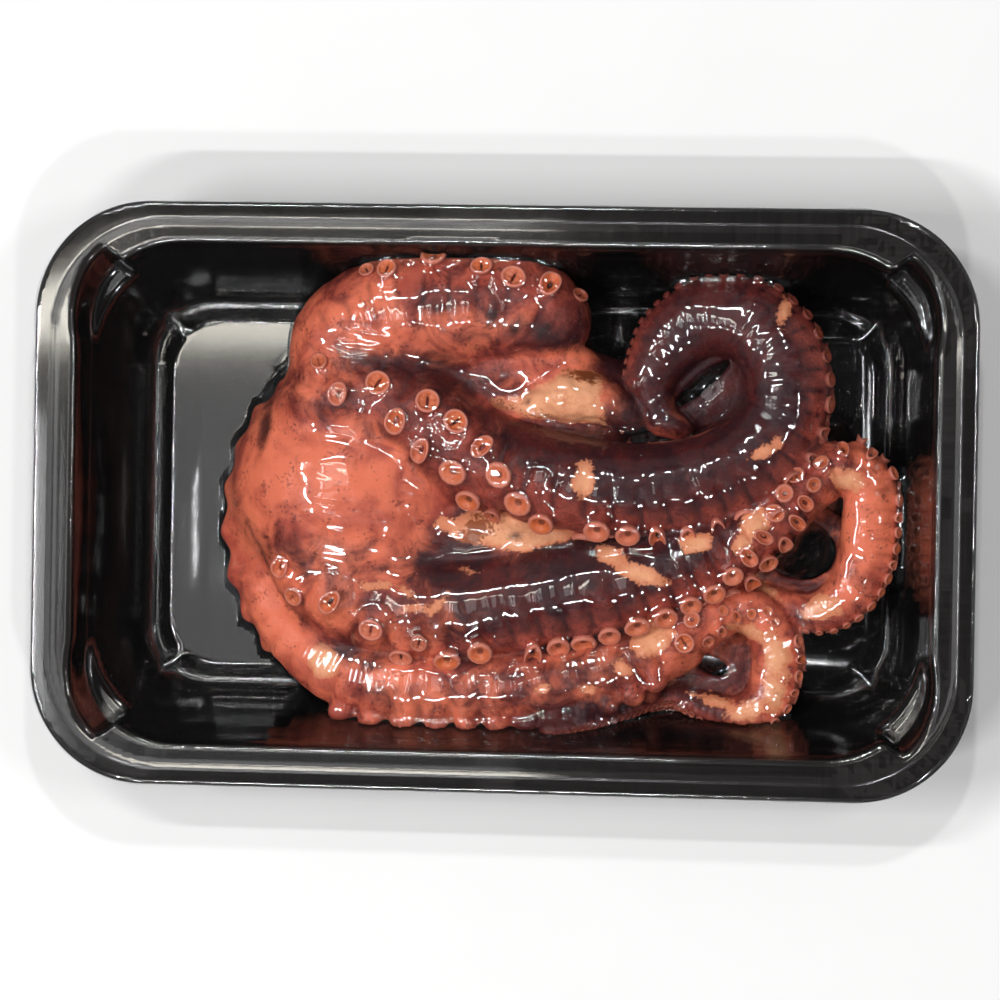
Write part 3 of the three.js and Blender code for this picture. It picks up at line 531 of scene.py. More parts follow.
def lumps(points, size, seed):
    """Smooth noise from -1 to 1 whose features are size across, the same for the same seed."""
    return np.array([noise.noise(place) for place in points / size + seed * 17.31])


def patch_distance(x, y, patch):
    """Millimetres inside the edge of an elliptical patch, negative outside."""
    centre_x, centre_y, long, wide, angle = patch
    turn = math.radians(angle)
    dx, dy = x - centre_x, y - centre_y
    a = (dx * math.cos(turn) + dy * math.sin(turn)) / long
    b = (dy * math.cos(turn) - dx * math.sin(turn)) / wide
    return (1 - np.hypot(a, b)) * min(long, wide)


def deepest(x, y, patches):
    """Millimetres inside the nearest of several patches, negative outside them all."""
    return np.max([patch_distance(x, y, patch) for patch in patches], axis=0)


# ---- tray -----------------------------------------------------------------------------------

LUG_START, LUG_END, LUG_NOTCH = 0.02, 0.63, 0.03     # shares of a corner's turn
LUG_PEAK = 0.56           # of half a wave, so that the lug is deepest just before its notch
MITRE_WIDTH, MITRE_RISE = 0.028, 2.6      # the ridge across the floor channel at each corner
MITRE_STEPS = (-2, -1.4, -1, -0.6, -0.3, 0.3, 0.6, 1, 1.4, 2)     # across it, in its widths


def lug_share(t):
    if t <= LUG_START or t >= LUG_END:
        return 0.0
    along = (t - LUG_START) / (LUG_END - LUG_START)
    return math.sin(along * math.pi * LUG_PEAK) * float(ease(t, LUG_END, LUG_END - LUG_NOTCH))


def tray_profile(sizes):
    """Inset, height, corner radius, lug share and rounding, from the floor out to the lip."""
    sheet, corner = sizes.sheet / MM, sizes.rim_corner / MM
    panel, band, ledge = sheet + sizes.panel_rise / MM, RIM - 0.2, RIM - 9.5
    return (
        (34, panel, 14, 0, 1.6), (29.8, sheet, 17, 0, 1.2), (27.6, sheet, 16.6, 0, 1.0),
        (24.8, sheet + 2.6, 18.6, 0, 2.0), (14.6, ledge, 28, 0, 0.5),
        (14.3, ledge + 0.4, 28.2, 0.75, 0.4), (11.3, band - 0.9, 31, 1, 0.5),
        (10.4, band, 31.5, 1, 0.5), (5.0, band, corner - 1, 0, 0.4), (4.4, RIM, corner - 1, 0, 0.4),
        (0.7, RIM, corner - 0.3, 0, 0.4), (0, RIM - 0.7, corner, 0, 0.3),
        (0, RIM - 2.4, corner, 0, 0),
    )


def underside(upper, sheet):
    """The lower face of a section: every point moved square off the upper face by the sheet."""
    lower = []
    for i, (inset, z, corner, rounding) in enumerate(upper):
        before, after = upper[max(i - 1, 0)], upper[min(i + 1, len(upper) - 1)]
        first = Vector((before[0] - inset, before[1] - z))
        second = Vector((inset - after[0], z - after[1]))
        first, second = (v.normalized() for v in (first if i else second, second))
        if i == len(upper) - 1:
            second = first
        along = (first + second).normalized()
        shift = sheet * min(1.6, 1 / max(along.dot(first), 0.5))
        lower.append((inset + along.y * shift, z - along.x * shift, corner, rounding * 0.6))
    return lower


def rounded(section, steps=4):
    """A section with each of its corners rounded by an arc."""
    points = [section[0][:3]]
    for before, here, after in zip(section, section[1:], section[2:]):
        corner = np.array(here[:3])
        back, on = np.array(before[:3]) - corner, np.array(after[:3]) - corner
        reach = [np.hypot(*v[:2]) for v in (back, on)]
        take = min(here[3], 0.45 * min(reach))
        start, end = corner + back * take / reach[0], corner + on * take / reach[1]
        for k in range(steps + 1):
            s = k / steps
            points.append(tuple((1 - s) ** 2 * start + 2 * s * (1 - s) * corner + s * s * end))
    points.append(section[-1][:3])
    return points


def tray_stations():
    steps = sorted({*np.linspace(0, 1, 25), LUG_END - LUG_NOTCH, LUG_END - LUG_NOTCH / 2, LUG_END,
                    *(0.5 + MITRE_WIDTH * np.array(MITRE_STEPS))})
    for side_x, side_y in ((1, 1), (-1, 1), (-1, -1), (1, -1)):
        for t in steps if side_x * side_y > 0 else reversed(steps):
            yield side_x, side_y, float(t)


def tray_mesh(sizes):
    profile = tray_profile(sizes)
    columns = []
    for side_x, side_y, t in tray_stations():
        reach = sizes.lug_reach / MM * lug_share(t)
        rise = MITRE_RISE * math.exp(-((t - 0.5) / MITRE_WIDTH) ** 2)
        upper = [(i - reach * lug, z + (rise if k in (1, 2) else 0), c, r)
                 for k, (i, z, c, lug, r) in enumerate(profile)]
        section = rounded(upper) + rounded(underside(upper, sizes.sheet / MM))[::-1]
        angle = t * math.pi / 2
        columns.append([(
            side_x * (HALF_LENGTH - i - c + c * math.cos(angle)),
            side_y * (HALF_WIDTH - i - c + c * math.sin(angle)), z) for i, z, c in section])
    rings, turns = len(columns[0]), len(columns)
    points = [p for column in columns for p in column]
    faces = []
    for k in range(turns):
        a, b = k * rings, (k + 1) % turns * rings
        faces += [(a + j, a + j + 1, b + j + 1, b + j) for j in range(rings - 1)]
    faces.append([k * rings for k in range(turns)])
    faces.append([k * rings + rings - 1 for k in reversed(range(turns))])
    return points, faces


class OCTO_OT_tray(bpy.types.Operator):
    """Builds the formed tray with its rounded folds and stacking lugs"""
    bl_idname = "octo.tray"
    bl_label = "Tray"

    def execute(self, context):
        sizes = context.scene.octo_tray
        piece = mesh_object("tray_shell", *tray_mesh(sizes), tray_finish(sizes))
        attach(piece, BODY)
        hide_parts("tray")
        return {"FINISHED"}


# ---- octopus --------------------------------------------------------------------------------

FAR = 6.0          # millimetres beyond which no distance is kept
FLOOR = 4.2        # what the octopus lies on
STEP = 1.2         # millimetres between two stations of an arm
SAMPLES = 40       # of an arm's line between two points of its table
CROWN = (-42.0, 12.0)
FIELD = (-90, -72, 1.0), (114, 73, 40)      # the corners of the flesh's grid
WEB_BLEND, ARM_BLEND, PAD_BLEND = 5.0, 0.7, 1.4     # how softly each kind of form joins the others
CROWN_BLEND = 6.0                           # and what the crown adds for an arm
SKIN_BLEND = 1.3                            # how softly their skins join
PAD = 0.42, 0.62           # the ball under a cup: radius in cup diameters, depth in its own radii
SWELLING = 0.53, -0.1      # the same for a sucker without a cup
NO_MASK = 9                # millimetres outside a patch that are as good as none
CLEARANCE = 0.4            # between the flesh and the tray
WALL_PART = 0.38           # how much of a height over the slanted wall lies square off it


class Arm:
    """A limb's stations: places, frames and thicknesses along its smooth line, in millimetres."""

    def __init__(self, points):
        points = np.array(points, float)
        at, share = self.line(points[:, :3])
        run = np.concatenate([[0], np.cumsum(np.linalg.norm(np.diff(at, axis=0), axis=1))])
        self.length = run[-1]
        self.run = np.linspace(0, self.length, int(self.length / STEP) + 1)
        self.at = np.stack([np.interp(self.run, run, at[:, k]) for k in range(3)], 1)
        place = np.interp(self.run, run, share)
        columns = [np.interp(place, np.arange(len(points)), points[:, k]) for k in range(3, 8)]
        self.across, self.above, self.turn, self.sucker, self.dark = columns
        along = np.gradient(self.at, axis=0)
        self.along = along / np.linalg.norm(along, axis=1)[:, None]
        right = np.stack([self.along[:, 1], -self.along[:, 0], np.zeros(len(along))], 1)
        self.right = right / np.linalg.norm(right, axis=1)[:, None]
        self.up = np.cross(self.right, self.along)
        end = np.minimum(self.run, self.length - self.run) / np.maximum(self.across, 1)
        self.round = np.maximum(0.25, np.sqrt(1 - (1 - np.clip(end, 0, 1)) ** 2))
        self.below = np.maximum(self.above, self.at[:, 2] - FLOOR + 1)

    @staticmethod
    def line(points):
        """A centripetal Catmull-Rom line through the points, with the share of each sample."""
        ends = np.vstack([2 * points[0] - points[1], points, 2 * points[-1] - points[-2]])
        line, share = [], []
        for i in range(len(points) - 1):
            p0, p1, p2, p3 = ends[i:i + 4]
            d0, d1, d2 = (math.sqrt(np.linalg.norm(b - a))
                          for a, b in ((p0, p1), (p1, p2), (p2, p3)))
            t1 = ((p1 - p0) / d0 - (p2 - p0) / (d0 + d1) + (p2 - p1) / d1) * d1
            t2 = ((p2 - p1) / d1 - (p3 - p1) / (d1 + d2) + (p3 - p2) / d2) * d1
            for s in np.linspace(0, 1, SAMPLES, endpoint=i == len(points) - 2):
                line.append(p1 + t1 * s + (3 * (p2 - p1) - 2 * t1 - t2) * s * s
                            + (2 * (p1 - p2) + t1 + t2) * s ** 3)
                share.append(i + s)
        return np.array(line), share

    def fill(self, field, values):
        """Lowers a field's values to the distance from this limb."""
        for k in range(len(self.at)):
            across = self.across[k] * self.round[k]
            above, below = self.above[k] * self.round[k], self.below[k] * self.round[k]
            reach = max(across, above, below) + FAR / 2
            slices, (x, y, z) = field.around(self.at[k], reach)
            a, t, b = (x * v[k][0] + y * v[k][1] + z * v[k][2]
                       for v in (self.right, self.along, self.up))
            high = np.where(b > 0, above, below)
            near = ball_distance(a, t, b, across, across, high)
            np.minimum(values[slices], near, out=values[slices])

    def locate(self, points):
        """Each point's distance from the skin, run along the limb and angle from straight up."""
        squared = (self.at ** 2).sum(1)
        nearest = np.argmin(squared - 2 * points @ self.at.T, axis=1)
        offset = points - self.at[nearest]
        a, t, b = ((offset * axis[nearest]).sum(1) for axis in (self.right, self.along, self.up))
        across = self.across[nearest] * self.round[nearest]
        high = np.where(b > 0, self.above[nearest], self.below[nearest]) * self.round[nearest]
        beyond = np.maximum(np.abs(t) - STEP, 0) / across
        scaled = np.sqrt((a / across) ** 2 + (b / high) ** 2 + beyond ** 2)
        far = (scaled - 1) * np.minimum(across, high)
        run = np.clip(self.run[nearest] + t, 0, self.length)
        return far, run, np.degrees(np.arctan2(a / across, b / high)), nearest

    def sample(self, run, column):
        """The value of one of the limb's columns at a run along it."""
        return float(np.interp(run, self.run, getattr(self, column)))

    def rows(self, pitch):
        """Where two staggered even rows of suckers would stand, from the crown to the tip."""
        run, places = 2.0, []
        while run < self.length - 2:
            places.append(run)
            run += self.sample(run, "sucker") * pitch / 2
        return places

    def cups(self, name, sizes):
        """Every sucker: run, angle, diameter, kind (-1 for a mere swelling)."""
        first, first_cup, table = CUPS[name]
        pause = ROWS_PAUSE.get(name, (0, 0))
        found = [tuple(cup) for cup in table]
        for number, run in enumerate(self.rows(sizes.pitch)):
            if run < first or pause[0] < run < pause[1]:
                continue
            side = 1 if number % 2 == 0 else -1
            angle = self.sample(run, "turn") + side * math.degrees(sizes.row_angle)
            diameter = self.sample(run, "sucker") * sizes.fill
            found.append((run, angle, diameter, 0 if run > first_cup else -1))
        return found

    def surface(self, run, angle):
        """Place and outward direction of the skin at a run and an angle from straight up."""
        at, right, up, along = (np.array([np.interp(run, self.run, v[:, k]) for k in range(3)])
                                for v in (self.at, self.right, self.up, self.along))
        across, above, below, end = (self.sample(run, column)
                                     for column in ("across", "above", "below", "round"))
        sine, cosine = math.sin(math.radians(angle)), math.cos(math.radians(angle))
        high = above if cosine > 0 else below
        place = at + (right * sine * across + up * cosine * high) * end
        facing = right * sine / across + up * cosine / high
        return place, facing / np.linalg.norm(facing), along


def ball_distance(x, y, z, rx, ry, rz):
    scaled = np.sqrt((x / rx) ** 2 + (y / ry) ** 2 + (z / rz) ** 2)
    slope = np.sqrt((x / rx ** 2) ** 2 + (y / ry ** 2) ** 2 + (z / rz ** 2) ** 2)
    return np.minimum(scaled * (scaled - 1) / np.maximum(slope, 1e-6), FAR)


def web_distance(web, x, y, z):
    (cx, cy, cz), (rx, ry, rz), waves, depth, _ = web
    dx, dy, dz = x - cx, y - cy, z - cz
    swell = 1 + depth * np.sin(waves * np.arctan2(dy / ry, dx / rx)) * np.hypot(dx / rx, dy / ry)
    return ball_distance(dx / swell, dy / swell, dz, rx, ry, rz)


def wall_height(x, y):
    """Height of the tray's inside, with its corners left square, in millimetres."""
    inset = np.minimum(HALF_LENGTH - np.abs(x), HALF_WIDTH - np.abs(y))
    return np.interp(inset, (11, 14.6, 24.8, 27.6, 29.8, 34), (37, 28.5, 3.6, 1.4, 1.4, 3.8))


def within_walls(points):
    """The points, drawn in to just inside the tray's slanted walls where they would pass them."""
    wall = np.interp(points[:, 2], (3.6, 29.4, 29.8, 37.8), (24.8, 14.6, 14.3, 11.3)) + 0.25
    kept = points.copy()
    for axis, half in ((0, HALF_LENGTH), (1, HALF_WIDTH)):
        kept[:, axis] = np.clip(points[:, axis], wall - half, half - wall)
    return kept


class Flesh:
    """Signed distances on a grid, in millimetres, negative inside the flesh."""

    def __init__(self, low, high, voxel):
        self.low, self.voxel = np.array(low, float), voxel
        self.size = np.ceil((np.array(high) - self.low) / voxel).astype(int) + 1
        self.values = np.full(self.size, FAR, np.float32)

    def axes(self):
        return [self.low[k] + self.voxel * np.arange(self.size[k]) for k in range(3)]

    def around(self, centre, reach):
        """The part of the grid near a place: its slices, and its coordinates from that place."""
        first = np.floor((centre - reach - self.low) / self.voxel)
        last = np.ceil((centre + reach - self.low) / self.voxel) + 1
        first = np.clip(first, 0, self.size - 1).astype(int)
        last = np.clip(last, 1, self.size).astype(int)
        x, y, z = (self.low[k] + self.voxel * np.arange(first[k], last[k]) - centre[k]
                   for k in range(3))
        grid = x[:, None, None], y[None, :, None], z[None, None, :]
        return tuple(slice(a, b) for a, b in zip(first, last)), grid

    def join(self, part, blend, slices=...):
        here = self.values[slices]
        h = np.clip(0.5 + 0.5 * (here - part) / blend, 0, 1)
        self.values[slices] = here + (part - here) * h - blend * h * (1 - h)

    def mesh(self):
        grid = openvdb.FloatGrid(background=FAR)
        grid.copyFromArray(np.ascontiguousarray(self.values, np.float32))
        points, triangles, quads = grid.convertToPolygons(isovalue=0.0, adaptivity=0.0)
        faces = [tuple(int(i) for i in face) for face in (*quads, *triangles)]
        return np.array(points, float) * self.voxel + self.low, faces


def flesh_field(arms, ridge, sizes, suckers):
    field = Flesh(*FIELD, sizes.voxel / MM)
    x, y, z = np.meshgrid(*field.axes(), indexing="ij", sparse=True)
    crown = ease(np.hypot(x - CROWN[0], y - CROWN[1]), 47, 26)
    for web in WEBS:
        field.join(web_distance(web, x, y, z), WEB_BLEND)
    for opening in OPENINGS:
        cut = patch_distance(x, y, opening) + 0 * z
        field.values = np.maximum(field.values, np.clip(cut, -FAR, 2)).astype(np.float32)
    for limb in (*arms, ridge):
        values = np.full(field.size, FAR, np.float32)
        limb.fill(field, values)
        field.join(values, ARM_BLEND + CROWN_BLEND * crown)
    for name, arm in zip(ARMS, arms):
        for run, angle, diameter, kind in arm.cups(name, suckers):
            place, facing, _ = arm.surface(run, angle)
            size, sink = SWELLING if kind < 0 else PAD
            radius = size * diameter
            slices, (dx, dy, dz) = field.around(place - facing * radius * sink, radius + 2)
            field.join(np.sqrt(dx * dx + dy * dy + dz * dz) - radius, PAD_BLEND, slices)
    (cx, cy), wide, long, deep = SLIT
    inside = ease(np.hypot((x - cx) / wide, (y - cy) / long), 1.0, 0.3)
    field.values += (inside * deep * (z > 8)).astype(np.float32)
    wall = wall_height(x, y)
    rest = (wall + CLEARANCE - z) * np.where(wall > 4.5, WALL_PART, 1)
    field.values = np.maximum(field.values, rest).astype(np.float32)
    return field


def skin_values(arms, ridge, points, suckers):
    """What the finish and the pleats need at each point: darkness, flank, painted shade in the
    grooves between the pleats, the pleats' lift and the shares of the ridge and of the torn web."""
    parts = [limb.locate(points) for limb in (*arms, ridge)]
    far = np.stack([p[0] for p in parts] + [web_distance(w, *points.T) for w in WEBS])
    weight = np.exp(-np.clip(far - far.min(0), 0, 20) / SKIN_BLEND)
    weight /= weight.sum(0)
    dark = np.stack([limb.dark[p[3]] for limb, p in zip((*arms, ridge), parts)]
                    + [np.full(len(points), w[4]) for w in WEBS])
    flank, groove_shade, lift = (np.zeros(len(points)) for _ in range(3))
    for depth, arm, part, own in zip(PLEATS.values(), arms, parts, weight):
        _, run, angle, nearest = part
        off = (angle - arm.turn[nearest] + 180) % 360 - 180
        runs = arm.rows(suckers.pitch)
        count = np.interp(run, runs, np.arange(len(runs))) - np.where(off > 0, 0, 1)
        crest = np.abs(np.cos(count * math.pi / 2))
        beside = ease(np.abs(off), 14, 32) * ease(np.abs(off), 100, 50) * own
        size = arm.sucker[nearest] / 9
        flank += ease(np.abs(off), 88, 30) * own * ease(arm.dark[nearest], 1.5, 1.0)
        # Painted shade where the pleats dip between the suckers.
        groove_shade += beside * (1 - crest) ** 1.8 * ease(arm.sucker[nearest], 1.5, 4)
        lift += depth * beside * size * (0.3 - 1.3 * (1 - crest) ** 1.6)
    ridge_share, web_share = weight[len(arms)], weight[len(parts) + TORN_WEB]
    return (weight * dark).sum(0), flank, groove_shade, lift, ridge_share, web_share


class OCTO_OT_flesh(bpy.types.Operator):
    """Builds the octopus's arms, crown and web as one skin"""
    bl_idname = "octo.flesh"
    bl_label = "Flesh"

    def execute(self, context):
        sizes, suckers = context.scene.octo_flesh, context.scene.octo_suckers
        arms, ridge = [Arm(points) for points in ARMS.values()], Arm(FLESH_RIDGE)
        points, faces = flesh_field(arms, ridge, sizes, suckers).mesh()
        piece = mesh_object("octopus_skin", points, faces, flesh_finish(sizes))
        mesh = piece.data
        normals = rows_of(mesh.vertex_normals, "vector")
        dark, flank, groove_shade, lift, ridge_share, web_share = skin_values(
            arms, ridge, points, suckers)
        x, y = points[:, 0], points[:, 1]
        # Clouds change the darkness; some are painted shade along a crease and painted light on the
        # web's left side.
        for *cloud, darker in CLOUDS_AND_PAINTED_LIGHT:
            dark = dark + darker * ease(patch_distance(x, y, cloud) / min(cloud[2:4]), -0.35, 0.75)
        pale = deepest(x, y, PALE_PATCHES)
        pale = np.maximum(pale, np.minimum((ridge_share - 0.5) * 6, (RIDGE_TORN - x) * 0.6))
        pale = np.maximum(pale, np.minimum(patch_distance(x, y, WEB_PALE), (web_share - 0.3) * 6))
        # The dark patches hold real stains and slits, and painted shade along one crease.
        pale, stain_and_shade = (np.where(normals[:, 2] > -0.1, mask, -NO_MASK)
                       for mask in (pale, deepest(x, y, STAINS_AND_CREASE_SHADE)))
        height = lift * sizes.pleat / MM + sizes.lumps / MM * (
            lumps(points, 7, sizes.seed)
            + (0.5 + 1.5 * ridge_share) * lumps(points, 3, sizes.seed + 1))
        height *= ease(points[:, 2], FLOOR, FLOOR + 3)
        move_points(mesh, within_walls(points + normals * height[:, None]))
        for name, values in (("dark", dark), ("flank", flank), ("groove_shade", groove_shade), ("pale", pale),
                             ("stain_and_shade", stain_and_shade), ("olive", deepest(x, y, OLIVE))):
            set_attribute(mesh, name, np.clip(values, -NO_MASK, NO_MASK))
        mesh.update()
        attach(piece, BODY)
        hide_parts("octopus")
        return {"FINISHED"}


# ---- suckers --------------------------------------------------------------------------------

BURIED = 8.0       # how far above its own arm a cup looks for the skin, in millimetres
PAD_RISE = 0.2     # how far the pad under a cup stands out, in cup diameters
SMALL = 1.6        # the radius below which a cup is a plain small one, in millimetres
VARIANTS = (3, 2, 1)       # the tree's number for each kind of cup, after 0 for a small one
HIDDEN = 118       # degrees from straight up beyond which an arm gets no cup
COLUMNS = (("facing", "FLOAT_VECTOR"), ("along", "FLOAT_VECTOR"), ("size", "FLOAT"),
           ("tint", "FLOAT"), ("shade", "FLOAT"), ("variant", "INT"))

# A cup's outline from its foot in the arm over the rim to the middle of the pit, in cup radii.
CUP = ((0.72, -0.9), (0.78, -0.35), (0.90, 0.0), (1.0, 0.18), (0.98, 0.32), (0.88, 0.40),
       (0.76, 0.36), (0.68, 0.22), (0.52, 0.15), (0.36, 0.12), (0.25, 0.04), (0.17, -0.16),
       (0.06, -0.26))
SMALL_CUP = ((0.72, -0.9), (0.84, -0.1), (1.0, 0.18), (0.84, 0.38), (0.55, 0.14), (0.22, -0.12))

# Each cup's outline and sides, how far its pit is drawn out to a slit and how far its rim folds up.
SHAPES = {"Round cup": (CUP, 28, 0.0, 0.0), "Slit cup": (CUP, 28, 1.0, 0.0),
          "Folded cup": (CUP, 28, 0.5, 1.0), "Small cup": (SMALL_CUP, 12, 0.0, 0.0)}


def cup_object(name, outline, sides, slit, fold):
    """One cup of radius 1."""
    points, ring = [], []
    rim = next(i for i, p in enumerate(outline) if p[0] == 1.0)
    for k, (radius, height) in enumerate(outline):
        for n in range(sides):
            angle = 2 * math.pi * n / sides
            inner = k > rim and radius < 0.45
            ripple = 0.035 * math.cos(angle * sides / 4) if k > rim and 0.3 < radius < 0.8 else 0
            wide = radius * (1 - 0.55 * slit if inner else 1 - 0.28 * fold)
            long = radius * (1 + 0.8 * slit if inner else 1 + 0.06 * fold)
            lift = fold * 0.42 * radius ** 2 * math.cos(angle) ** 2 if k >= rim else 0
            points.append((wide * math.cos(angle), long * math.sin(angle), height + ripple + lift))
            ring.append(radius if k > rim else 2 - radius)
    rings = [list(range(k * sides, (k + 1) * sides)) for k in range(len(outline))]
    faces = [(a, b, d, c) for low, high in zip(rings, rings[1:])
             for a, b, c, d in zip(low, low[1:] + low[:1], high, high[1:] + high[:1])]
    faces += [rings[0][::-1], rings[-1]]
    cup = mesh_object(name, np.array(points) / MM, faces)
    set_attribute(cup.data, "ring", ring)
    return cup


def sucker_tree():
    """Geometry Nodes: one cup on each point, turned to its facing, realized."""
    group = bpy.data.node_groups.new("Sucker rows", "GeometryNodeTree")
    face = group.interface
    face.new_socket("Geometry", in_out="INPUT", socket_type="NodeSocketGeometry")
    for name, kind in (*((cup, "Object") for cup in SHAPES), ("Squeeze", "Float"),
                       ("Roll", "Float"), ("Seed", "Int"), ("Finish", "Material")):
        face.new_socket(name, in_out="INPUT", socket_type="NodeSocket" + kind)
    face.new_socket("Geometry", in_out="OUTPUT", socket_type="NodeSocketGeometry")
    g = Tree(group)
    given = group.nodes.new("NodeGroupInput")

    def entry(name):
        return Value(g, given.outputs[name])

    def named(name, kind="FLOAT"):
        return g.node("GeometryNodeInputNamedAttribute", {"data_type": kind}, {"Name": name})

    def chance(low, high, seed):
        return g.node("FunctionNodeRandomValue", {"data_type": "FLOAT"},
                      {2: low, 3: high, "Seed": seed}, output=1)

    cups = group.nodes.new("GeometryNodeGeometryToInstance")
    for name in reversed(SHAPES):
        cup = g.node("GeometryNodeObjectInfo", values={"Object": entry(name)}, output="Geometry")
        group.links.new(cup.socket, cups.inputs[0])
    turned = g.node("FunctionNodeAlignRotationToVector", {"axis": "Z", "pivot_axis": "AUTO"},
                    {"Vector": named("facing", "FLOAT_VECTOR")})
    turned = g.node("FunctionNodeAlignRotationToVector", {"axis": "X", "pivot_axis": "Z"},
                    {"Rotation": turned, "Vector": named("along", "FLOAT_VECTOR")})
    size = named("size")
    press = chance(-1.0, 1.0, entry("Seed")) * entry("Squeeze")
    scale = g.node("ShaderNodeCombineXYZ",
                   values={0: size * (press + 1), 1: size * (1 - press), 2: size})
    placed = g.node("GeometryNodeInstanceOnPoints", values={
        "Points": entry("Geometry"), "Instance": Value(g, cups.outputs[0]), "Pick Instance": True,
        "Instance Index": named("variant", "INT"), "Rotation": turned, "Scale": scale})
    spin = chance(entry("Roll") * -1.0, entry("Roll"), entry("Seed") + 1)
    placed = g.node("GeometryNodeRotateInstances", values={
        "Instances": placed, "Rotation": g.node("ShaderNodeCombineXYZ", values={2: spin})})
    whole = g.node("GeometryNodeRealizeInstances", values={"Geometry": placed})
    whole = g.node("GeometryNodeSetMaterial",
                   values={"Geometry": whole, "Material": entry("Finish")})
    group.links.new(whole.socket, group.nodes.new("NodeGroupOutput").inputs[0])
    return group


def grow(points_object, group, values):
    """Runs a tree on an object and returns the plain mesh that it makes."""
    modifier = points_object.modifiers.new(group.name, "NODES")
    modifier.node_group = group
    for item in group.interface.items_tree:
        if item.in_out == "INPUT" and item.name in values:
            modifier[item.identifier] = values[item.name]
    graph = bpy.context.evaluated_depsgraph_get()
    mesh = bpy.data.meshes.new_from_object(points_object.evaluated_get(graph), depsgraph=graph)
    points_object.modifiers.clear()
    return mesh


class OCTO_OT_suckers(bpy.types.Operator):
    """Sets the cups in two staggered rows along each arm"""
    bl_idname = "octo.suckers"
    bl_label = "Suckers"

    def execute(self, context):
        sizes, flesh = context.scene.octo_suckers, context.scene.octo_flesh
        skin, = surfaces("octopus_skin")
        cups = [*self.places(sizes, skin)]
        cups += [(place, facing, (0, 1, 0.3), 0.5 * diameter * MM, 0.8, 0.2, VARIANTS[kind])
                 for place, facing, diameter, kind in FREE_CUPS]
        places, *columns = zip(*cups)
        dots = mesh_object("sucker_places", places, [])
        for (name, kind), values in zip(COLUMNS, columns):
            set_attribute(dots.data, name, values, kind)
        cups = {name: cup_object(name, *shape) for name, shape in SHAPES.items()}
        mesh = grow(dots, sucker_tree(), {
            **cups, "Squeeze": sizes.squeeze, "Roll": 0.5, "Seed": sizes.seed,
            "Finish": sucker_finish(sizes, flesh)})
        mesh.name = "octopus_suckers"
        move_points(mesh, within_walls(rows_of(mesh.vertices, "co") / MM))
        mesh.polygons.foreach_set("use_smooth", np.ones(len(mesh.polygons), bool))
        piece = bpy.data.objects.new("octopus_suckers", mesh)
        context.scene.collection.objects.link(piece)
        for helper in (dots, *cups.values()):
            bpy.data.objects.remove(helper)
        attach(piece, BODY)
        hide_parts("octopus")
        return {"FINISHED"}

    @staticmethod
    def places(sizes, skin):
        """Each cup's place and columns on the arms, where there is room for it over the tray."""
        random = np.random.default_rng(sizes.seed)
        for name, points in ARMS.items():
            arm = Arm(points)
            for run, angle, diameter, kind in arm.cups(name, sizes):
                wobble, grow_by, tint, chance = random.normal(0, 2.5), *random.uniform(0, 1, 3)
                if kind < 0 or abs(angle) > HIDDEN:
                    continue
                place, facing, along = arm.surface(run, angle + wobble)
                radius = 0.5 * diameter * (0.94 + 0.12 * grow_by)
                lift = sizes.lift
                if run > CUPS[name][0]:
                    kind = 1 if chance < 0.4 else 2 if chance < 0.55 else 0
                    lift = sizes.tilt * float(ease(radius, 2.3, 3.2))
                if place[2] < wall_height(*place[:2]) + radius:
                    continue
                above = Vector((place + facing * BURIED) * MM)
                hit, _, _, deep = skin.ray_cast(above, Vector(-facing), BURIED * MM)
                if hit:
                    place = place + facing * max(0, BURIED - deep / MM - PAD_RISE * diameter)
                place = place + facing * radius * sizes.stand * float(ease(abs(angle), 108, 84))
                shade = arm.sample(run, "dark") * float(ease(radius, 3.2, 2.2))
                variant = 0 if radius < SMALL else VARIANTS[kind]
                yield place, facing + (0, 0, lift), along, radius * MM, tint, shade, variant


# ---- film -----------------------------------------------------------------------------------

FREE_REACH = 4          # how many cells beyond the flesh the film hangs free of the tray
TENTS_FROM = -58.0      # it hugs the flesh left of here, and bridges to the walls right of here
MEAN_RADIUS = 12.0      # of an arm, in millimetres, which turns an angle into a distance across it
ARMS_APART = 40.0       # keeps one arm's waves from those of the next
WEAK, STRONG = 0.42, 0.58       # how much of the waves is everywhere, and what patches of them add
EDGE_WANDER = 0.35      # how far the film's edge wanders on the rim, in millimetres


def rim_inset(x, y, corner):
    """Millimetres inside the rim's rounded outline, negative outside."""
    dx = np.abs(x) - (HALF_LENGTH - corner)
    dy = np.abs(y) - (HALF_WIDTH - corner)
    outside = np.hypot(np.maximum(dx, 0), np.maximum(dy, 0)) + np.minimum(np.maximum(dx, dy), 0)
    return corner - outside


def spread(values, cells):
    """Every cell takes the highest value within so many cells of it."""
    best = values.copy()
    for di in range(-cells, cells + 1):
        for dj in range(-cells, cells + 1):
            if di * di + dj * dj <= cells * cells + 1:
                best = np.maximum(best, np.roll(values, (di, dj), (0, 1)))
    return best


def near_mean(values):
    padded = np.pad(values, 1, mode="edge")
    return (padded[2:, 1:-1] + padded[:-2, 1:-1] + padded[1:-1, 2:] + padded[1:-1, :-2]) / 4


def covered_height(x, y):
    """The highest point under each grid point, and whether it belongs to the octopus."""
    trees = surfaces("tray_shell", "octopus_skin", "octopus_suckers")
    down, height, flesh = Vector((0, 0, -1)), np.zeros(x.shape), np.zeros(x.shape)
    for index in np.ndindex(x.shape):
        start = Vector((x[index] * MM, y[index] * MM, 0.1))
        hits = (tree.ray_cast(start, down)[0] for tree in trees)
        tray, *soft = (hit.z / MM if hit else 0 for hit in hits)
        height[index] = max(tray, *soft)
        flesh[index] = max(soft) > tray
    return height, flesh


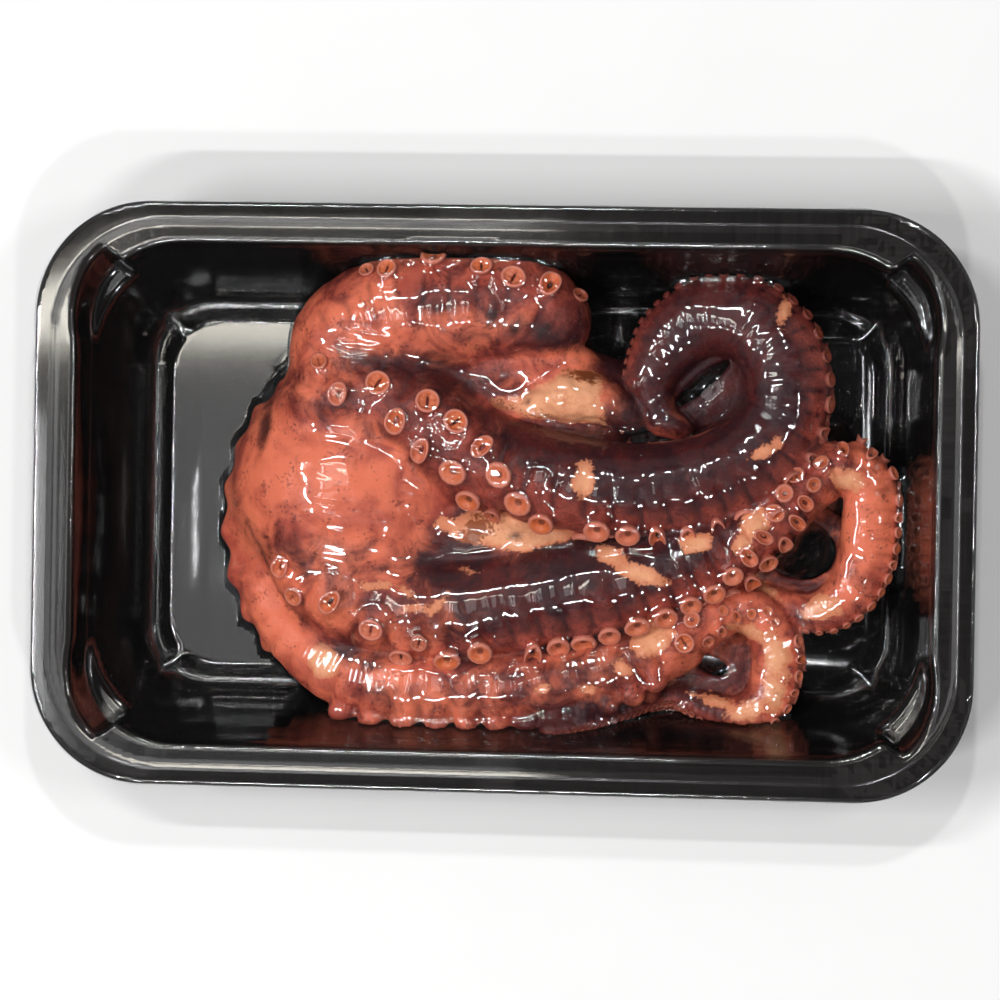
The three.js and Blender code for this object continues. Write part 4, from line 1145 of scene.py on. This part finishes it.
class OCTO_OT_film(bpy.types.Operator):
    """Drapes the clear film over the octopus and seals it to the flange"""
    bl_idname = "octo.film"
    bl_label = "Film"

    def execute(self, context):
        sizes, corner = context.scene.octo_film, context.scene.octo_tray.rim_corner / MM
        cell = sizes.cell / MM
        x, y = np.meshgrid(*(np.arange(-half - cell, half + 2 * cell, cell)
                             for half in (HALF_LENGTH, HALF_WIDTH)), indexing="ij")
        flat = np.stack([x.ravel(), y.ravel(), np.zeros(x.size)], 1)
        inset = rim_inset(x, y, corner)
        under, flesh = covered_height(x, y)
        under = spread(np.where(inset < 1.0, RIM, under), 1)
        free = np.where(x > TENTS_FROM, spread(flesh, FREE_REACH), spread(flesh, 1)) > 0
        film = under.copy()
        for _ in range(sizes.tautness):
            film = np.maximum(film, spread(film, 1) - sizes.slope * cell)
        for _ in range(sizes.relax):
            film = np.maximum(under, near_mean(film))
        film = np.where(free, near_mean(film), under)
        hang = film - under
        ripple = lumps(flat * (1, 0.4, 1), 2.2, 5) + 0.6 * lumps(flat * (0.4, 1, 1), 1.8, 6)
        ripple = np.maximum(ripple.reshape(x.shape), -0.2)
        film += sizes.wrinkle / MM * ease(hang, 0.2, 1.6) * ripple
        film += sizes.gap / MM
        points = flat + film.reshape(-1, 1) * (0, 0, 1)
        self.build(points, self.quads(inset), hang.ravel(), inset.ravel(), corner, sizes)
        return {"FINISHED"}

    @staticmethod
    def quads(inset):
        """The grid's cells inside the rim, as the numbers of their four corners."""
        inside = inset > -0.2
        number = np.arange(inset.size).reshape(inset.shape)
        here, right, both, up = ((slice(a, a - 1 or None), slice(b, b - 1 or None))
                                 for a, b in ((0, 0), (1, 0), (1, 1), (0, 1)))
        keep = inside[here] & inside[right] & inside[both] & inside[up]
        return np.stack([number[part] for part in (here, right, both, up)], -1)[keep]

    def build(self, grid, quads, hang, inset, corner, sizes):
        """Makes the closed sheet from the grid's points and those of its cells that are kept."""
        used = np.unique(quads)
        count = len(used)
        again = np.full(len(grid), -1)
        again[used] = np.arange(count)
        top = again[quads]
        border = self.border(top)
        points, hang, rim = grid[used], hang[used], inset[used]
        edge = lumps(grid[used] * (1, 1, 0), 6, 9) * EDGE_WANDER
        for i in sorted({i for pair in border for i in pair}):
            points[i, :2] += self.outward(*points[i, :2], corner) * (rim[i] + 0.1 + edge[i])
        low = points - (0, 0, sizes.thickness / MM)
        faces = [tuple(f) for f in top] + [tuple(f[::-1] + count) for f in top]
        faces += [(b, a, a + count, b + count) for a, b in border]
        piece = mesh_object("film_skin", np.vstack([points, low]), faces, film_finish(sizes))
        flow, near = self.flow(points)
        near = np.maximum(near, ease(hang, 0.05, 1.2) * 0.7)
        a, b = flow[:, 0], flow[:, 1] * 0.3
        turned = np.stack([a * 0.8 - b * 0.6, a * 0.6 + b * 0.8, flow[:, 2]], 1)
        wave = lumps(np.stack([a, b, flow[:, 2]], 1), 4.5, 21) + lumps(turned, 3.6, 22)
        patch = WEAK + STRONG * ease(lumps(flow * (1, 0.6, 1), 13, 23), -0.05, 0.25)
        wave *= 0.65 * patch * near * ease(rim, 1, 6)
        shift = np.tile(wave, 2)[:, None] * (0, 0, sizes.wave / MM)
        move_points(piece.data, np.vstack([points, low]) + shift)
        for name, values in (("edge", ease(rim, 1.6, 0.0)), ("slack", patch * near)):
            set_attribute(piece.data, name, np.tile(values, 2))
        set_attribute(piece.data, "outside", np.repeat((1.0, 0.0), count))
        set_attribute(piece.data, "flow", np.tile(flow, (2, 1)) * MM, "FLOAT_VECTOR")
        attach(piece, BODY)
        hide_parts("film")

    @staticmethod
    def flow(points):
        """Each point's place along and across its arm, and whether it lies over the flesh."""
        found = [Arm(p).locate(points) for p in ARMS.values()]
        far = np.stack([f[0] for f in found])
        nearest = far.argmin(0)
        run = np.choose(nearest, [f[1] for f in found])
        angle = np.choose(nearest, [np.radians(f[2]) * MEAN_RADIUS for f in found])
        crown = ease(np.hypot(points[:, 0] - CROWN[0], points[:, 1] - CROWN[1]), 40, 36)
        run = np.where(crown > 0.5, points[:, 1] + 0.15 * points[:, 0], run)
        angle = np.where(crown > 0.5, points[:, 0], angle)
        over = np.maximum(ease(far.min(0), 4, 1), crown)
        return np.stack([run, angle, nearest * ARMS_APART], 1), over

    @staticmethod
    def border(quads):
        """The sides that only one cell has, in their own direction."""
        sides = {(int(a), int(b)) for q in quads for a, b in zip(q, np.roll(q, -1))}
        return [(a, b) for a, b in sorted(sides) if (b, a) not in sides]

    @staticmethod
    def outward(x, y, corner):
        """The direction square off the rim's rounded outline."""
        dx = max(abs(x) - (HALF_LENGTH - corner), 0)
        dy = max(abs(y) - (HALF_WIDTH - corner), 0)
        return np.array((math.copysign(dx, x), math.copysign(dy, y))) / math.hypot(dx, dy)


# ---- stage ----------------------------------------------------------------------------------

CAMERA_TARGET = Vector((0.0001, -0.0002, 0.036))
CAMERA_DISTANCE = 1.7697
CAMERA_TILT = math.radians(9.476), math.radians(-0.792)
CAMERA_ROLL = math.radians(0.992)
FRAME_WIDTH = 0.28239     # metres across the frame at the target
SENSOR = 36.0
FLOOR_REACH = 3000        # millimetres from the middle of the floor to its sides

# The ring of lamps: place, size and share of the brightness. Waves of the film turn the long ones
# into thin lines and the square ones into glints.
LAMPS = (((-0.34, 0.40, 1.30), (0.40, 0.03), 1.2), ((0.22, 0.60, 1.30), (0.06, 0.06), 3.3),
         ((-0.30, -0.46, 1.30), (0.40, 0.03), 1.4), ((0.36, -0.62, 1.25), (0.06, 0.06), 3.0),
         ((0.74, 0.10, 1.25), (0.03, 0.30), 1.3), ((-0.78, -0.10, 1.20), (0.03, 0.40), 1.9))
WINDOW = (-0.36, 0.070, 1.24), (0.36, 0.028)      # place and size
STRIP = (-0.446, -0.075, 1.24), (0.044, 0.19)
CEILING = (-0.29, -0.03, 1.24), (0.20, 0.19)
WARM = (1.0, 0.95, 0.84)


def area_light(name, place, size, radiance, tone=(1, 1, 1)):
    light = bpy.data.lights.new(name, "AREA")
    light.shape, light.size, light.size_y = "RECTANGLE", size[0], size[1]
    light.energy, light.color = radiance * math.pi * size[0] * size[1], tone
    lamp = bpy.data.objects.new(name, light)
    lamp.location = place
    bpy.context.scene.collection.objects.link(lamp)


class OCTO_OT_stage(bpy.types.Operator):
    """Sets the floor, the lights and the camera"""
    bl_idname = "octo.stage"
    bl_label = "Stage"

    def execute(self, context):
        sizes = context.scene.octo_stage
        floor = mesh_object("floor", [(x * FLOOR_REACH, y * FLOOR_REACH, 0)
                                      for x, y in ((-1, -1), (1, -1), (1, 1), (-1, 1))],
                            [(0, 1, 2, 3)], plain_finish("pale_floor", sizes.floor, 0.8))
        world = bpy.data.worlds.new("surround")
        world.use_nodes = True
        sky = Tree(world.node_tree)
        toward = sky.node("ShaderNodeTexCoord", output="Generated")
        rise = sky.node("ShaderNodeSeparateXYZ", values={0: toward}, output="Z")
        band = rise.ramp(0.30, 0.50) * (1 - rise.ramp(0.72, 0.86))
        back = world.node_tree.nodes["Background"]
        world.node_tree.links.new((band * sizes.band + sizes.world).socket, back.inputs["Strength"])
        back.inputs["Color"].default_value = (1, 1, 1, 1)
        context.scene.world = world
        for number, (place, size, part) in enumerate(LAMPS):
            area_light(f"lamp_{number}", place, size, sizes.lamps * part)
        area_light("window", *WINDOW, sizes.window, WARM)
        area_light("strip", *STRIP, sizes.strip)
        area_light("ceiling", *CEILING, sizes.ceiling)
        context.scene.view_settings.view_transform = "Standard"
        self.camera(context)
        return {"FINISHED"}

    def camera(self, context):
        data = bpy.data.cameras.new("camera")
        tilt_x, tilt_y = (math.sin(angle) for angle in CAMERA_TILT)
        back = Vector((tilt_x, -tilt_y, math.sqrt(1 - tilt_x ** 2 - tilt_y ** 2)))
        side = Vector((0, 1, 0)).cross(back).normalized()
        turn = Matrix((side, back.cross(side).normalized(), back)).transposed()
        turn = turn @ Matrix.Rotation(CAMERA_ROLL, 3, "Z")
        camera = bpy.data.objects.new("camera", data)
        place = CAMERA_TARGET + back * CAMERA_DISTANCE
        camera.matrix_world = Matrix.Translation(place) @ turn.to_4x4()
        data.sensor_width = data.sensor_height = SENSOR
        data.sensor_fit = "HORIZONTAL"
        data.lens = SENSOR * CAMERA_DISTANCE / FRAME_WIDTH
        data.clip_end = 20
        context.scene.collection.objects.link(camera)
        context.scene.camera = camera


# ---- add-on ---------------------------------------------------------------------------------

GROUPS = {"octo_tray": OCTO_PG_tray, "octo_flesh": OCTO_PG_flesh, "octo_suckers": OCTO_PG_suckers,
          "octo_film": OCTO_PG_film, "octo_stage": OCTO_PG_stage}
OPERATORS = (OCTO_OT_tray, OCTO_OT_flesh, OCTO_OT_suckers, OCTO_OT_film, OCTO_OT_stage)


class OCTO_PT_panel(bpy.types.Panel):
    """Sizes and colours of the pack, and a button for each piece"""
    bl_idname = "OCTO_PT_panel"
    bl_label = "Octopus pack"
    bl_space_type = "VIEW_3D"
    bl_region_type = "UI"
    bl_category = "Octopus"

    def draw(self, context):
        for (name, group), operator in zip(GROUPS.items(), OPERATORS):
            box = self.layout.box()
            for key in group.__annotations__:
                box.prop(getattr(context.scene, name), key)
            box.operator(operator.bl_idname)


CLASSES = (*GROUPS.values(), *OPERATORS, OCTO_PT_panel)


def register():
    for item in CLASSES:
        bpy.utils.register_class(item)
    for name, group in GROUPS.items():
        setattr(bpy.types.Scene, name, PointerProperty(type=group))


def unregister():
    for name in GROUPS:
        delattr(bpy.types.Scene, name)
    for item in reversed(CLASSES):
        bpy.utils.unregister_class(item)


def main():
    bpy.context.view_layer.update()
    register()
    bpy.ops.octo.tray()
    bpy.ops.octo.flesh()
    bpy.ops.octo.suckers()
    bpy.ops.octo.film()
    bpy.ops.octo.stage()


if __name__ == "__main__":
    main()
